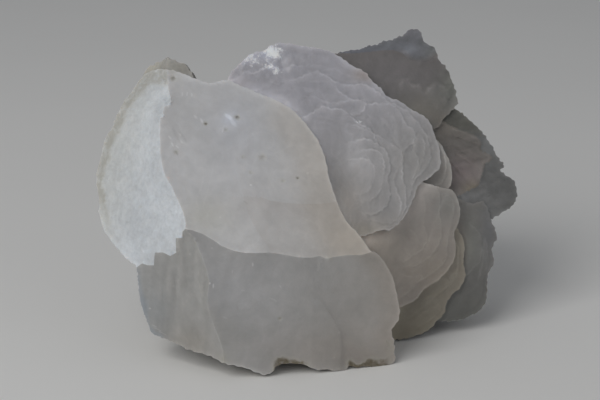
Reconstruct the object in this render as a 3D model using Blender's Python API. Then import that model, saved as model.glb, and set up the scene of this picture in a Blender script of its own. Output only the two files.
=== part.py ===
"""Cluster of tabular, nail-head calcite crystals grown together in one mass.

Every crystal is a plate: a rounded outline carried back as a rim, then drawn in to a
stem that runs to the common root.  Its front is closed by flat rhombohedral faces.
Terraces, stair-like growth steps and toothed edges are smaller bodies fused to the
plates.  The cluster stands on a flat broken foot at z = 0 and faces -Y.

Crystals are laid out in millimetres in the growth frame (u, v, w): u to the right,
v up across the plates, w along the shared axis, which points forward and LEAN upward.
"""

import math

import bmesh
import bpy
from mathutils import Matrix, Vector

MM = 0.001
LEAN = math.radians(17.0)
FLOOR = -55.0            # height of the foot below the growth frame's origin
ROOT = (-2.0, -14.0, -66.0)   # where the stems come together
SMOOTH = 2               # spans between two knots of an outline
NAME = "calcite_cluster"


def clear_scene():
    """Empties the file of its start-up objects."""
    for item in list(bpy.data.objects):
        bpy.data.objects.remove(item, do_unlink=True)


def new_collection(name):
    """A collection linked to the scene."""
    group = bpy.data.collections.new(name)
    bpy.context.scene.collection.children.link(group)
    return group


def calcite():
    """Milky, faintly warm calcite with a waxy to glassy surface."""
    material = bpy.data.materials.new("calcite")
    material.use_nodes = True
    shader = material.node_tree.nodes["Principled BSDF"]
    shader.inputs["Base Color"].default_value = (0.47, 0.46, 0.45, 1.0)
    shader.inputs["Roughness"].default_value = 0.38
    shader.inputs["IOR"].default_value = 1.6
    material.diffuse_color = (0.47, 0.46, 0.45, 1.0)
    return material


def outline(knots, smooth):
    """A closed ring through the knots; each tangent runs along its neighbours' chord."""
    curve = bpy.data.curves.new("outline", "CURVE")
    curve.dimensions = "2D"
    curve.fill_mode = "NONE"
    curve.resolution_u = smooth
    spline = curve.splines.new("BEZIER")
    spline.bezier_points.add(len(knots) - 1)
    spline.use_cyclic_u = True
    count = len(knots)
    for index, point in enumerate(spline.bezier_points):
        here = Vector((*knots[index], 0.0))
        before = Vector((*knots[index - 1], 0.0))
        after = Vector((*knots[(index + 1) % count], 0.0))
        tangent = (after - before).normalized()
        point.handle_left_type = "FREE"
        point.handle_right_type = "FREE"
        point.co = here * MM
        point.handle_left = (here - tangent * (here - before).length * 0.3) * MM
        point.handle_right = (here + tangent * (after - here).length * 0.3) * MM
    holder = bpy.data.objects.new("outline", curve)
    mesh = bpy.data.meshes.new_from_object(holder)
    bpy.data.objects.remove(holder, do_unlink=True)
    ring = bmesh.new()
    ring.from_mesh(mesh)
    bmesh.ops.remove_doubles(ring, verts=ring.verts[:], dist=0.02 * MM)
    bmesh.ops.contextual_create(ring, geom=ring.edges[:])
    bpy.data.meshes.remove(mesh)
    return ring


def depth(faces, u, v):
    """Height w of the roof that the front faces make over a point of the plate."""
    levels = []
    for point, slope in faces:
        fall = slope[0] * (u - point[0]) + slope[1] * (v - point[1])
        levels.append(point[2] - fall)
    return min(levels)


def extruded(body, face):
    """Extrudes a face; returns the new cap and its vertices."""
    grown = bmesh.ops.extrude_face_region(body, geom=[face])["geom"]
    verts = [item for item in grown if isinstance(item, bmesh.types.BMVert)]
    caps = [item for item in grown if isinstance(item, bmesh.types.BMFace)]
    return caps[0], verts


def split_off(body, point, slope):
    """Leaves what lies behind the plane through the point, and closes the cut."""
    normal = Vector((slope[0], slope[1], 1.0)).normalized()
    everything = body.verts[:] + body.edges[:] + body.faces[:]
    cut = bmesh.ops.bisect_plane(
        body,
        geom=everything,
        dist=0.001 * MM,
        plane_co=Vector(point) * MM,
        plane_no=normal,
        clear_outer=True,
    )
    edges = [item for item in cut["geom_cut"] if isinstance(item, bmesh.types.BMEdge)]
    open_edges = [edge for edge in edges if edge.is_boundary]
    if open_edges:
        bmesh.ops.holes_fill(body, edges=open_edges, sides=0)


def plate_body(knots, faces, rim, stem, root, smooth):
    """A plate of even rim that draws in behind to a stem, under its flat front faces.

    Each face is a point it passes through and its fall per unit of u and of v.
    """
    body = outline(knots, smooth)
    face = body.faces[:][0]
    for vert in body.verts:
        vert.co.z = (max(point[2] for point, slope in faces) + 30.0) * MM
    back, ring = extruded(body, face)
    for vert in ring:
        vert.co.z = (depth(faces, vert.co.x / MM, vert.co.y / MM) - rim) * MM
    end, ring = extruded(body, back)
    for vert in ring:
        vert.co.x = (root[0] + (vert.co.x / MM - root[0]) * stem) * MM
        vert.co.y = (root[1] + (vert.co.y / MM - root[1]) * stem) * MM
        vert.co.z = root[2] * MM
    bmesh.ops.delete(body, geom=[back], context="FACES_ONLY")
    sides = [side for vert in end.verts for side in vert.link_faces if side != end]
    bmesh.ops.triangulate(body, faces=list(dict.fromkeys(sides)))
    bmesh.ops.recalc_face_normals(body, faces=body.faces[:])
    for point, slope in faces:
        split_off(body, point, slope)
    return body


def crystal(name, knots, faces, rim, stem, root=ROOT, smooth=SMOOTH):
    """A plate laid out straight in the growth frame."""
    return finished(name, plate_body(knots, faces, rim, stem, root, smooth))


def lobed(radius, lobes, swell, turn):
    """Knots of a rounded outline that swells gently into a few lobes."""
    knots = []
    for index in range(16):
        angle = math.tau * index / 16
        reach = radius * (1.0 + swell * math.cos(lobes * angle + turn))
        reach -= radius * 0.04 * math.cos(2.0 * angle + 1.3 * turn)
        knots.append((reach * math.cos(angle), reach * math.sin(angle)))
    return knots


def hind_crystal(name, knots, steep, turn, tip, centre):
    """A plate closed by three like faces, turned about v and u to face backwards."""
    faces = []
    for index in range(3):
        angle = math.radians(90.0 + 120.0 * index)
        slope = (steep * math.cos(angle), steep * math.sin(angle))
        faces.append(((0.0, 0.0, 0.0), slope))
    body = plate_body(knots, faces, 4.0, 0.5, (0.0, 0.0, -24.0), 1)
    body.transform(Matrix.Rotation(math.radians(turn), 4, "Y"))
    body.transform(Matrix.Rotation(math.radians(tip), 4, "X"))
    body.transform(Matrix.Translation(Vector(centre) * MM))
    return finished(name, body)


def finished(name, body):
    """Turns the growth frame into the standing cluster's axes and makes the object."""
    bmesh.ops.triangulate(body, faces=body.faces[:])
    bmesh.ops.recalc_face_normals(body, faces=body.faces[:])
    body.transform(Matrix.Rotation(math.radians(90.0) - LEAN, 4, "X"))
    body.transform(Matrix.Translation((0.0, 0.0, -FLOOR * MM)))
    mesh = bpy.data.meshes.new(name)
    body.to_mesh(mesh)
    body.free()
    return bpy.data.objects.new(name, mesh)


def tooth(name, tip, slopes, size):
    """A small three-sided growth step whose own faces meet at the tip."""
    body = bmesh.new()
    place = Matrix.Translation(Vector((tip[0], tip[1], tip[2] - size * 0.4)) * MM)
    bmesh.ops.create_cube(body, size=size * MM, matrix=place)
    for slope in slopes:
        split_off(body, tip, slope)
    return finished(name, body)


def ridge(name, start, end, faces, thick):
    """A low ridge along a plate's face, fine at its start and blunt-pointed at its end."""
    tail = Vector((*start, depth(faces, *start)))
    head = Vector((*end, depth(faces, *end)))
    along = head - tail
    body = bmesh.new()
    bmesh.ops.create_cone(
        body,
        cap_ends=True,
        segments=6,
        radius1=thick * 0.25 * MM,
        radius2=thick * MM,
        depth=along.length * 0.72 * MM,
        matrix=Matrix.Translation((0.0, 0.0, along.length * 0.36 * MM)),
    )
    blunt = max(body.faces, key=lambda side: side.calc_center_median().z)
    bmesh.ops.poke(body, faces=[blunt], offset=along.length * 0.28 * MM)
    body.transform(along.to_track_quat("Z", "Y").to_matrix().to_4x4())
    body.transform(Matrix.Translation(tail * MM))
    return finished(name, body)


def great_plate():
    """The large front crystal: three bowed faces and a flank, stepped along the edges."""
    apex = (-32.3, -10.6, 0.0)
    faces = [
        (apex, (0.25, 0.45)),                       # broad upper face
        (apex, (-0.92, 0.16)),                      # left face, bowed in three
        ((-40.0, 9.6, -7.2), (-0.95, 0.40)),
        ((-40.9, 24.4, -13.6), (-0.88, 0.72)),
        (apex, (0.00, -0.31)),                      # lower face, bowed in three
        ((-17.2, -14.9, -1.9), (0.18, -0.35)),
        ((2.9, -16.8, -6.1), (0.34, -0.35)),
        (apex, (-0.60, -0.55)),                     # flank below the left face
    ]
    knots = [
        (-62.5, 5), (-61, 14), (-57.5, 22.5), (-53.5, 30), (-49, 36), (-45, 39.5),
        (-38.5, 39.5), (-32, 36.5), (-27, 35.5), (-22.5, 36), (-13, 32.5), (-2, 27),
        (5.5, 18), (8.5, 8), (12, -2.5), (16.5, -9.5), (20.5, -15), (24.5, -18),
        (28, -24), (30, -33), (28, -40), (29, -48), (24, -51), (13.5, -51.5),
        (8, -50.5), (1, -49), (-5, -49), (-10, -52), (-18, -49.5), (-26, -46.5),
        (-36, -43), (-44.5, -40), (-47.5, -31), (-48.5, -20), (-54, -15), (-60.5, -4.5),
    ]
    parts = [crystal("great_plate", knots, faces, 7.0, 0.6, (-4, -12, -60))]
    wall = (2.2, 0.2)
    for tip in ((-36.2, -15.6, -2.4), (-43.2, -19.2, -8.4)):
        parts.append(tooth("corner_step", tip, [(-0.97, 0.20), wall, (-0.3, -2.4)], 8.5))
    for tip in ((-37.6, 28.2, -14.2), (-39.6, 24.2, -12.9)):
        parts.append(tooth("edge_step", tip, [(-0.92, 0.62), wall, (-0.1, -1.8)], 8.0))
    return parts


def shell_plate():
    """The broad crystal behind, its front built up in scalloped terraces."""
    slope = (0.20, 0.25)
    base = [
        (-22, 36.5), (-18.5, 42), (-13, 46), (-5.5, 48.5), (3, 47.5), (11, 46), (15.5, 42.5),
        (20.5, 39), (24.5, 34.5), (31, 30.5), (38.5, 25.5), (41.5, 21.5), (43, 15.5),
        (42.5, 10), (38.5, 6), (34, 0), (29, -7.5), (20, -16), (0, -20), (-20, 0), (-26, 20),
    ]
    middle = [
        (-22, 24), (-18, 32), (-11.5, 39), (-2, 39), (6, 41), (12.5, 37.5), (20.5, 34.5),
        (23.5, 31.5), (33, 27.5), (36, 21.5), (35, 17.5), (30.5, 14.5), (30.5, 7.5),
        (31.5, 0), (29.5, -6), (25, -10), (10, -15), (-10, 0),
    ]
    top = [
        (-6, 20), (0, 28), (5, 28), (11, 29.5), (16, 26.5), (20.5, 23.5), (25, 18), (27.5, 13),
        (26.5, 6), (27, -1.5), (22.5, -8), (10, -12), (-4, 0),
    ]
    centre = (9.0, 18.0)
    face = ((*centre, -31.5), slope)
    plates = [crystal("shell_base", base, [face], 5.0, 0.5, (0, -12, -71))]
    for level, ring in ((-29.5, middle), (-27.5, top)):
        face = ((*centre, level), slope)
        root = (2, -8, -50 + level / 2)
        plates.append(crystal("shell_step", ring, [face], 3.0, 0.6, root))
    return plates


def right_plates():
    """The stack of thinner plates that fans out to the right and downward."""
    sill = [
        (20, 27), (30, 26), (37, 22), (43.0, 18.5), (45.5, 14), (47, 10), (47, 5.5),
        (43.5, 0), (31, -6), (15, -10), (10, 10),
    ]
    apron = [
        (20, 4), (30, 7), (38, 5.5), (43, 4), (47, 3), (49, -0.5), (49.5, -4.5), (48.5, -10),
        (48, -19), (45.5, -23), (38.5, -28.5), (31, -33), (22, -36), (10, -20),
    ]
    ledge = [
        (30, 0), (44, -3), (50.5, -11), (51.5, -17), (51.5, -26), (48.5, -29), (46, -32),
        (44, -38), (40, -42), (31, -43.5), (20, -43), (12, -30),
    ]
    outer = [
        (40, 4), (53, -0.5), (59, -4.5), (60.5, -8), (62, -11.5), (60.5, -15), (61, -19.5),
        (59, -23.5), (59, -28.5), (58.5, -32.5), (56, -35), (52, -37.5), (43, -37), (30, -36),
        (24, -20),
    ]
    fronts = [
        ("sill", sill, ((44, 14, -41), (0.15, 0.10)), 4.0, (6, 0, -69)),
        ("apron", apron, ((43, -10, -38), (0.25, -0.10)), 5.0, (5, -10, -68)),
        ("ledge", ledge, ((48, -25, -45), (0.25, -0.15)), 5.0, (8, -16, -72)),
        ("outer", outer, ((58, -20, -49), (0.20, -0.10)), 5.0, (10, -18, -74)),
    ]
    plates = []
    for name, knots, face, rim, root in fronts:
        plates.append(crystal(name, knots, [face], rim, 0.5, root))
    return plates


def crown():
    """The peaked crystal at the upper right and the ridged fan below it."""
    peak = [
        (6, 44), (12.5, 45.5), (17.5, 46.5), (21.5, 48), (26, 49.5), (31.5, 51.5), (35.5, 54.5),
        (38, 54), (39, 50), (42.5, 48.5), (44, 44), (47, 40.5), (49, 34.5), (49.5, 30.5),
        (47, 27), (43, 22.5), (25, 15), (8, 30),
    ]
    fan = [
        (30, 20), (40, 30), (49, 29), (55.5, 24.5), (60.5, 18.5), (64, 12), (64.5, 10),
        (67.5, 7), (69.5, 2.5), (68.5, -1), (64.5, -5), (59.5, -7), (46, -12), (28, -10),
    ]
    peak_faces = [((35, 35, -47), (0.35, 0.30)), ((33, 43, -49), (0.15, 0.75))]
    fan_faces = [((55, 8, -50), (0.40, 0.20))]
    parts = [
        crystal("peak", peak, peak_faces, 5.0, 0.5, (6, 8, -74)),
        crystal("fan", fan, fan_faces, 6.0, 0.5, (14, -4, -76)),
    ]
    heart = (43.0, 22.0)
    for end in ((59.0, 17.5), (63.0, 11.0), (67.5, 3.5), (65.0, -3.5), (57.0, -6.5)):
        parts.append(ridge("fan_ridge", heart, end, fan_faces, 1.5))
    return parts


def foot():
    """The stout crystal behind that carries the cluster down to its broken foot."""
    knots = [
        (-34, -14), (-20, 4), (2, 6), (18, -6), (26, -26), (22, -44), (0, -47), (-24, -42),
        (-36, -30),
    ]
    face = ((-6.0, -20.0, -30.0), (0.0, 0.2))
    return [crystal("foot", knots, [face], 28.0, 0.75, (-4, -22, -68))]


def hind_plates():
    """Plates of the same habit that face backwards off the common root."""
    plates = [
        (lobed(33, 5, 0.06, 0.4), 0.30, 168.0, -6.0, (-18, 0, -68)),
        (lobed(23, 5, 0.07, 1.1), 0.34, 184.0, -8.0, (8, 5, -76)),
        (lobed(27, 4, 0.07, 1.9), 0.36, 198.0, 5.0, (29, -12, -78)),
        (lobed(23, 5, 0.08, 2.7), 0.34, 188.0, -24.0, (27, 23, -77)),
        (lobed(25, 4, 0.06, 0.9), 0.32, 177.0, 20.0, (0, -28, -71)),
    ]
    return [hind_crystal("hind_plate", *plate) for plate in plates]


def knob():
    """A low blunt ridge behind the great plate's upper left corner."""
    knots = [
        (-47.5, 37), (-45.5, 40), (-43.5, 41), (-41.5, 41.5), (-39.5, 42.5), (-37, 42),
        (-34.5, 41), (-32.5, 38.5), (-31.5, 35), (-36, 30), (-44, 31),
    ]
    faces = [
        ((-43.0, 39.0, -25.8), (-1.15, 0.50)),
        ((-38.0, 40.0, -22.4), (0.00, 0.40)),
    ]
    return [crystal("knob", knots, faces, 7.0, 0.7, (-2, -14, -59))]


def merge(parts, group):
    """Fuses the crystals into one body, one after another."""
    whole = parts[0]
    group.objects.link(whole)
    for part in parts[1:]:
        group.objects.link(part)
        union = whole.modifiers.new("union", "BOOLEAN")
        union.operation = "UNION"
        union.solver = "EXACT"
        union.object = part
        applied(whole)
        bpy.data.objects.remove(part, do_unlink=True)
    return whole


def applied(item):
    """Replaces the object's mesh with its evaluated one."""
    bpy.context.view_layer.update()
    graph = bpy.context.evaluated_depsgraph_get()
    mesh = bpy.data.meshes.new_from_object(item.evaluated_get(graph))
    item.modifiers.clear()
    item.data = mesh


def stand(item):
    """Breaks the foot off flat at z = 0."""
    body = bmesh.new()
    body.from_mesh(item.data)
    everything = body.verts[:] + body.edges[:] + body.faces[:]
    cut = bmesh.ops.bisect_plane(
        body,
        geom=everything,
        dist=0.001 * MM,
        plane_co=(0.0, 0.0, 0.0),
        plane_no=(0.0, 0.0, -1.0),
        clear_outer=True,
    )
    edges = [part for part in cut["geom_cut"] if isinstance(part, bmesh.types.BMEdge)]
    bmesh.ops.holes_fill(body, edges=edges, sides=0)
    bmesh.ops.recalc_face_normals(body, faces=body.faces[:])
    body.to_mesh(item.data)
    body.free()


def centred(item):
    """Puts the middle of the bounding box over the origin."""
    corners = [vert.co for vert in item.data.vertices]
    low = [min(corner[axis] for corner in corners) for axis in range(3)]
    high = [max(corner[axis] for corner in corners) for axis in range(3)]
    shift = (-(low[0] + high[0]) / 2.0, -(low[1] + high[1]) / 2.0, -low[2])
    item.data.transform(Matrix.Translation(shift))


def all_parts():
    """Every crystal of the cluster, front to back."""
    parts = great_plate() + knob() + foot() + shell_plate()
    return parts + right_plates() + crown() + hind_plates()


def main():
    """Grows the cluster."""
    clear_scene()
    group = new_collection(NAME)
    cluster = merge(all_parts(), group)
    cluster.name = NAME
    stand(cluster)
    centred(cluster)
    cluster.data.materials.clear()
    cluster.data.materials.append(calcite())


main()
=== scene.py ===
"""Looks of the calcite cluster.

The same intergrown plates as the solid, each with its toothed rim, growth steps, ridges and
pits, in milky, frosted and stained stone.  Crystals are laid out in millimetres in the
growth frame (u right, v up, w forward), which leans back by LEAN when the cluster stands.
Outlines and lines are lists of (u, v).  A flat face is a point (u, v, w) on it, with its
fall per millimetre of u and of v.
"""

import math
from dataclasses import dataclass

import bmesh
import bpy
import numpy as np
from mathutils import Matrix, Vector
from mathutils.bvhtree import BVHTree
from mathutils.geometry import delaunay_2d_cdt
from mathutils.kdtree import KDTree


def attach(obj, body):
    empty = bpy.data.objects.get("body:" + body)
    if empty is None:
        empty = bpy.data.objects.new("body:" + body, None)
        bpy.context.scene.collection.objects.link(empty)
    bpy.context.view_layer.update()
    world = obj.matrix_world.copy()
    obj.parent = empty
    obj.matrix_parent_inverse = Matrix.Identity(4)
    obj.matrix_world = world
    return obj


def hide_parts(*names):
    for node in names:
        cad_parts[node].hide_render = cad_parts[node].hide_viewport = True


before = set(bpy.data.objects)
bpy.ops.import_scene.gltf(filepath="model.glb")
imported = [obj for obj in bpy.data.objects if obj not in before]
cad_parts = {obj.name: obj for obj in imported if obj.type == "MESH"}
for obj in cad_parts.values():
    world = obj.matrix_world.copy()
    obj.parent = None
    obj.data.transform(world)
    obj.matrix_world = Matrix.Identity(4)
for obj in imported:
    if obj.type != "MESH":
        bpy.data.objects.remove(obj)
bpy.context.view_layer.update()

MM = 0.001
LEAN = math.radians(17.0)
LIFT = 55.0             # height of the growth frame's origin above the foot
SHIFT = (-3.5, -43.66)  # brings the cluster's bounding box over the origin
STAND = (
    Matrix.Translation((SHIFT[0] * MM, SHIFT[1] * MM, LIFT * MM))
    @ Matrix.Rotation(math.radians(90.0) - LEAN, 4, "X")
    @ Matrix.Scale(MM, 4)
)
CAMERA = (-0.0035, -0.49886, 0.19417)  # 476 mm from the growth frame's origin, along w
MIDDLE = (0.0, 0.0, 0.05)              # what the lamps face

# Where a face of the stone belongs; each zone has its own tint, partly painted light and
# shade, and its own frost.
ZONES = (
    "left", "upper", "lower", "flank", "great_side", "knob", "shell", "shell_side", "sill",
    "apron", "ledge", "outer", "peak", "brow", "fan", "fan_back", "thin_side", "hind", "foot",
)
ZONE = {name: index for index, name in enumerate(ZONES)}
GREAT_FACES = ("left", "upper", "lower", "flank")
SIDES = ("great_side", "shell_side", "thin_side", "knob", "foot")

CELLS = 64             # cells each way in a swell before it repeats
ORIGIN = (17.3, 9.1)   # the cells that the growth frame's origin falls in
TEETH = 997            # different teeth on an edge before they repeat
HANDLE = 0.3           # reach of a smooth curve's handles, as a share of its span
ROW = 0.866            # spacing of the rows in a net of even triangles
BATCH = 2000           # points that are measured at a time, to spare memory
TINY = 1e-9            # keeps lengths that are divided by above nothing
TINIEST = 1e-12        # does the same for rises and for squares of lengths
TOGETHER = 1e-6        # points this near count as one

# Rings and lines that a front's net keeps, as shares of what they go round: the foot and the
# lip of a terrace and the end of its painted glow, and rings round specks and streaks.
TERRACE_LINES = (0.5, -0.5, -1.4)
SPECK_RINGS = (1.6, 0.9, 0.35)
STREAK_RINGS = (1.3, 0.6)
# Rings down a crystal's rim and then down its stem, as shares of the way.
RIM_RINGS = (0.06, 0.5, 1.0)
STEM_RINGS = (0.3, 0.65, 1.0)
OUTLINE_STEP = 0.7     # spacing of points on the rim of a growth layer
SHELF_GAP = 0.6        # how far the edges of shelves keep from the crystal's outline
JITTER = 0.16          # how far a net's points stray, as a share of its pitch
APART = 0.45           # how far they keep from its edges, as a share of its pitch
SEAM_STEP = 0.5        # spacing of samples along the line between two faces
SEAM_REACH = 10        # samples on each side that smooth the step between two faces


# ---------------------------------------------------------------- plane geometry

def ease(part):
    """An even rise from 0 to 1, smoothed at both ends."""
    return part * part * (3.0 - 2.0 * part)


def ramp(value, start, end):
    """0 at start and 1 at end, smooth between."""
    return ease(np.clip((np.asarray(value) - start) / (end - start), 0.0, 1.0))


def bell(distance, reach):
    """1 at no distance, fading smoothly over the reach."""
    return np.exp(-(distance / reach) ** 2)


def blot(u, v, middle, reach):
    """1 at a place, fading smoothly over its reach along u and along v."""
    return np.exp(-((u - middle[0]) / reach[0]) ** 2 - ((v - middle[1]) / reach[1]) ** 2)


def swell(u, v, size, seed):
    """Smooth uneven relief between -1 and 1 whose features are about size mm across."""
    table = np.random.default_rng(seed).uniform(-1.0, 1.0, (CELLS, CELLS))
    x = np.asarray(u) / size + ORIGIN[0]
    y = np.asarray(v) / size + ORIGIN[1]
    i = np.floor(x).astype(int)
    j = np.floor(y).astype(int)
    s = ease(x - i)
    t = ease(y - j)
    low, high = (
        table[i % CELLS, row % CELLS] * (1.0 - s) + table[(i + 1) % CELLS, row % CELLS] * s
        for row in (j, j + 1)
    )
    return low * (1.0 - t) + high * t


def uneven(points, *waves):
    """A sum of swells over points, each given by its height, size and seed."""
    u, v = points.T
    return sum(height * swell(u, v, size, seed) for height, size, seed in waves)


def heading(turn):
    """The direction that is turned by so many degrees from u toward v."""
    return math.cos(math.radians(turn)), math.sin(math.radians(turn))


def turned(u, v, turn):
    """How far places lie along a direction and aside of it."""
    way = heading(turn)
    return u * way[0] + v * way[1], v * way[0] - u * way[1]


def batches(count):
    """Slices that take so many rows a batch at a time."""
    return [slice(start, start + BATCH) for start in range(0, count, BATCH)]


def curve_through(knots, step):
    """Points along a smooth closed curve; each tangent runs along its neighbours' chord."""
    points = np.array(knots, float)
    count = len(points)
    pieces = []
    for index, here in enumerate(points):
        before = points[index - 1]
        there = points[(index + 1) % count]
        after = points[(index + 2) % count]
        length = np.linalg.norm(there - here)
        leave = (there - before) / max(np.linalg.norm(there - before), TINY)
        arrive = (after - here) / max(np.linalg.norm(after - here), TINY)
        first = here + leave * length * HANDLE
        second = there - arrive * length * HANDLE
        amount = max(1, math.ceil(length / step))
        t = (np.arange(amount) / amount)[:, None]
        pieces.append(
            here * (1 - t) ** 3 + 3 * first * t * (1 - t) ** 2
            + 3 * second * t * t * (1 - t) + there * t ** 3
        )
    return np.concatenate(pieces)


def straight(knots, step):
    """Points along straight spans between the knots."""
    points = np.array(knots, float)
    pieces = []
    for here, there in zip(points[:-1], points[1:]):
        amount = max(1, math.ceil(np.linalg.norm(there - here) / step))
        t = (np.arange(amount) / amount)[:, None]
        pieces.append(here + (there - here) * t)
    pieces.append(points[-1:])
    return np.concatenate(pieces)


def outward(ring):
    """Unit normals that point out of a closed ring."""
    after = np.roll(ring, -1, axis=0)
    along = after - np.roll(ring, 1, axis=0)
    along /= np.maximum(np.linalg.norm(along, axis=1), TINY)[:, None]
    normal = np.stack([along[:, 1], -along[:, 0]], axis=1)
    doubled_area = np.sum(ring[:, 0] * after[:, 1] - ring[:, 1] * after[:, 0])
    return normal if doubled_area > 0 else -normal


def walked(ring):
    """Length along the ring up to each point."""
    steps = np.linalg.norm(np.diff(ring, axis=0), axis=1)
    return np.concatenate([[0.0], np.cumsum(steps)])


def teeth(along, pitch, seed):
    """Uneven saw teeth along an edge: 0 at their roots, up to 1 at their tips."""
    cell = along / pitch + 0.35 * swell(along, along * 0.0, pitch * 2.5, seed)
    number = np.floor(cell).astype(int)
    part = cell - number
    chance = np.random.default_rng(seed + 1)
    tall = chance.uniform(0.15, 1.0, TEETH)[number % TEETH]
    lean = chance.uniform(0.2, 0.8, TEETH)[number % TEETH]
    return tall * np.where(part < lean, part / lean, (1.0 - part) / (1.0 - lean))


def toothed(ring, jags, seed):
    """The ring with its edge cut into teeth.

    Each of the jags is a height, a pitch, and a middle and a reach that the teeth keep to;
    without a middle they go all the way round.
    """
    along = walked(ring)
    normal = outward(ring)
    shift = np.zeros(len(ring))
    for index, (height, pitch, middle, reach) in enumerate(jags):
        strength = height
        if middle is not None:
            gap = np.linalg.norm(ring - np.array(middle, float), axis=1)
            strength = height * (1.0 - ramp(gap, reach * 0.7, reach))
        shift += strength * (teeth(along, pitch, seed + 7 * index) - 0.5)
    return ring + normal * shift[:, None]


def inside(points, ring):
    """Which points lie inside a closed ring."""
    ring = np.array(ring, float)
    after = np.roll(ring, -1, axis=0)
    rise = after[:, 1] - ring[:, 1]
    rise = np.where(np.abs(rise) < TINIEST, TINIEST, rise)
    result = np.zeros(len(points), bool)
    for rows in batches(len(points)):
        x = points[rows, 0][:, None]
        y = points[rows, 1][:, None]
        spans = (ring[:, 1] > y) != (after[:, 1] > y)
        cross = ring[:, 0] + (y - ring[:, 1]) * (after[:, 0] - ring[:, 0]) / rise
        result[rows] = np.sum(spans & (x < cross), axis=1) % 2 == 1
    return result


def nearest(points, line, closed=False):
    """Distance from each point to a line, and the nearest place on it."""
    line = np.array(line, float)
    first = line if closed else line[:-1]
    second = np.roll(line, -1, axis=0) if closed else line[1:]
    span = second - first
    size = np.maximum(np.sum(span * span, axis=1), TINIEST)
    distance = np.empty(len(points))
    place = np.empty((len(points), 2))
    for rows in batches(len(points)):
        part = points[rows]
        off = part[:, None, :] - first[None]
        t = np.clip(np.sum(off * span, axis=2) / size, 0.0, 1.0)
        feet = first[None] + span[None] * t[..., None]
        gaps = np.linalg.norm(part[:, None, :] - feet, axis=2)
        best = np.argmin(gaps, axis=1)
        each = np.arange(len(part))
        distance[rows] = gaps[each, best]
        place[rows] = feet[each, best]
    return distance, place


def plane(face, points):
    """Height of a flat face over points."""
    u, v = points.T
    at, slope = face
    return at[2] - slope[0] * (u - at[0]) - slope[1] * (v - at[1])


def lowest(faces, points):
    """Height of the roof that several flat faces make."""
    return np.min([plane(face, points) for face in faces], axis=0)


def triangulated(coords, edges, ring):
    """Delaunay triangles that keep the edges and lie inside the ring."""
    places = [Vector(place) for place in coords]
    points, _, faces, *_ = delaunay_2d_cdt(places, edges, [], 0, TOGETHER)
    points = np.array([tuple(point) for point in points])
    faces = np.array([face for face in faces if len(face) == 3])
    return points, faces[inside(points[faces].mean(axis=1), ring)]


# ---------------------------------------------------------------- growth layers

class Terrace:
    """A growth layer that stands a step above what it grew on.

    Its rim is fretted with small teeth and slopes down over a slope's width.  Where it faces
    away from its front (a direction in the crystal's plane) it merges with the layer below.
    """

    def __init__(self, knots, step, fret, pitch, seed, slope, front=None):
        ring = curve_through(knots, OUTLINE_STEP)
        self.ring = toothed(ring, [(fret * 2.0, pitch, None, 0.0)], seed)
        self.step = step
        self.slope = slope
        self.front = front
        self.seed = seed
        normal = outward(self.ring)
        self.lines = [self.ring + normal * slope * share for share in TERRACE_LINES]

    def share(self, points):
        """How much of its step the layer has over each point."""
        if self.front is None:
            return np.ones(len(points))
        way = np.array(self.front) / np.hypot(*self.front)
        span = self.ring @ way
        low = span.min()
        width = span.max() - low
        return ramp(points @ way, low + 0.25 * width, low + 0.65 * width)

    def cover(self, points):
        """The layer's height over each point, and how near its lip of painted light is."""
        distance, _ = nearest(points, self.ring, closed=True)
        depth = np.where(inside(points, self.ring), distance, -distance)
        share = self.share(points)
        half = 0.5 * self.slope
        risen = ramp(depth, -half, half)
        # The lip is partly painted light, for light glowing through the layer's thin edge and
        # lifting the shade on its riser, and partly paler frosted stone; the glow inside it is
        # painted light.
        broken = 0.55 + uneven(points, (0.45, 2.6, self.seed + 500))
        line = risen * bell(np.maximum(depth - half, 0.0), 0.36)
        glow = 0.3 * bell(np.maximum(depth - half, 0.0), 1.4) * (depth > 0.0)
        return self.step * share * risen, np.maximum(line * broken, glow) * share


@dataclass
class Shelves:
    """Faint growth shelves: low steps where a measure over the face passes whole numbers."""

    measure: object  # gives the measure over points
    step: float      # height of a step
    width: float     # half width of a step's slope, in the measure
    # A lip's brightness is partly painted light, for light glowing through the shelf's thin edge,
    # and partly paler frosted stone.
    pale: float      # brightness of a lip

    def cover(self, points):
        """Height of the shelves over each point, and how near a lip is."""
        value = self.measure(points)
        whole = np.round(value)
        off = value - whole
        rise = whole + ramp(off, -self.width, self.width) - value
        broken = 0.5 + uneven(points, (0.5, 4.2, 540))
        return self.step * rise, self.pale * bell(off - 0.5 * self.width, self.width) * broken

    def segments(self, ring, pitch):
        """Short straight pieces of the foot and the lip of every step inside the ring."""
        low = ring.min(axis=0)
        high = ring.max(axis=0)
        u = np.arange(low[0], high[0] + pitch, pitch)
        v = np.arange(low[1], high[1] + pitch, pitch)
        grid = np.stack(np.meshgrid(u, v), axis=2)
        value = self.measure(grid.reshape(-1, 2)).reshape(grid.shape[:2])
        halves = ([(0, 0), (0, 1), (1, 1)], [(0, 0), (1, 1), (1, 0)])
        pieces = np.concatenate([
            crossed(grid, value, half, whole + side * self.width)
            for whole in range(math.floor(value.min()), math.ceil(value.max()) + 1)
            for side in (-1, 1)
            for half in halves
        ])
        kept = inside(pieces[:, 0], ring) & inside(pieces[:, 1], ring)
        gap, _ = nearest(pieces[kept].mean(axis=1), ring, closed=True)
        return pieces[kept][gap > SHELF_GAP]


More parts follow.
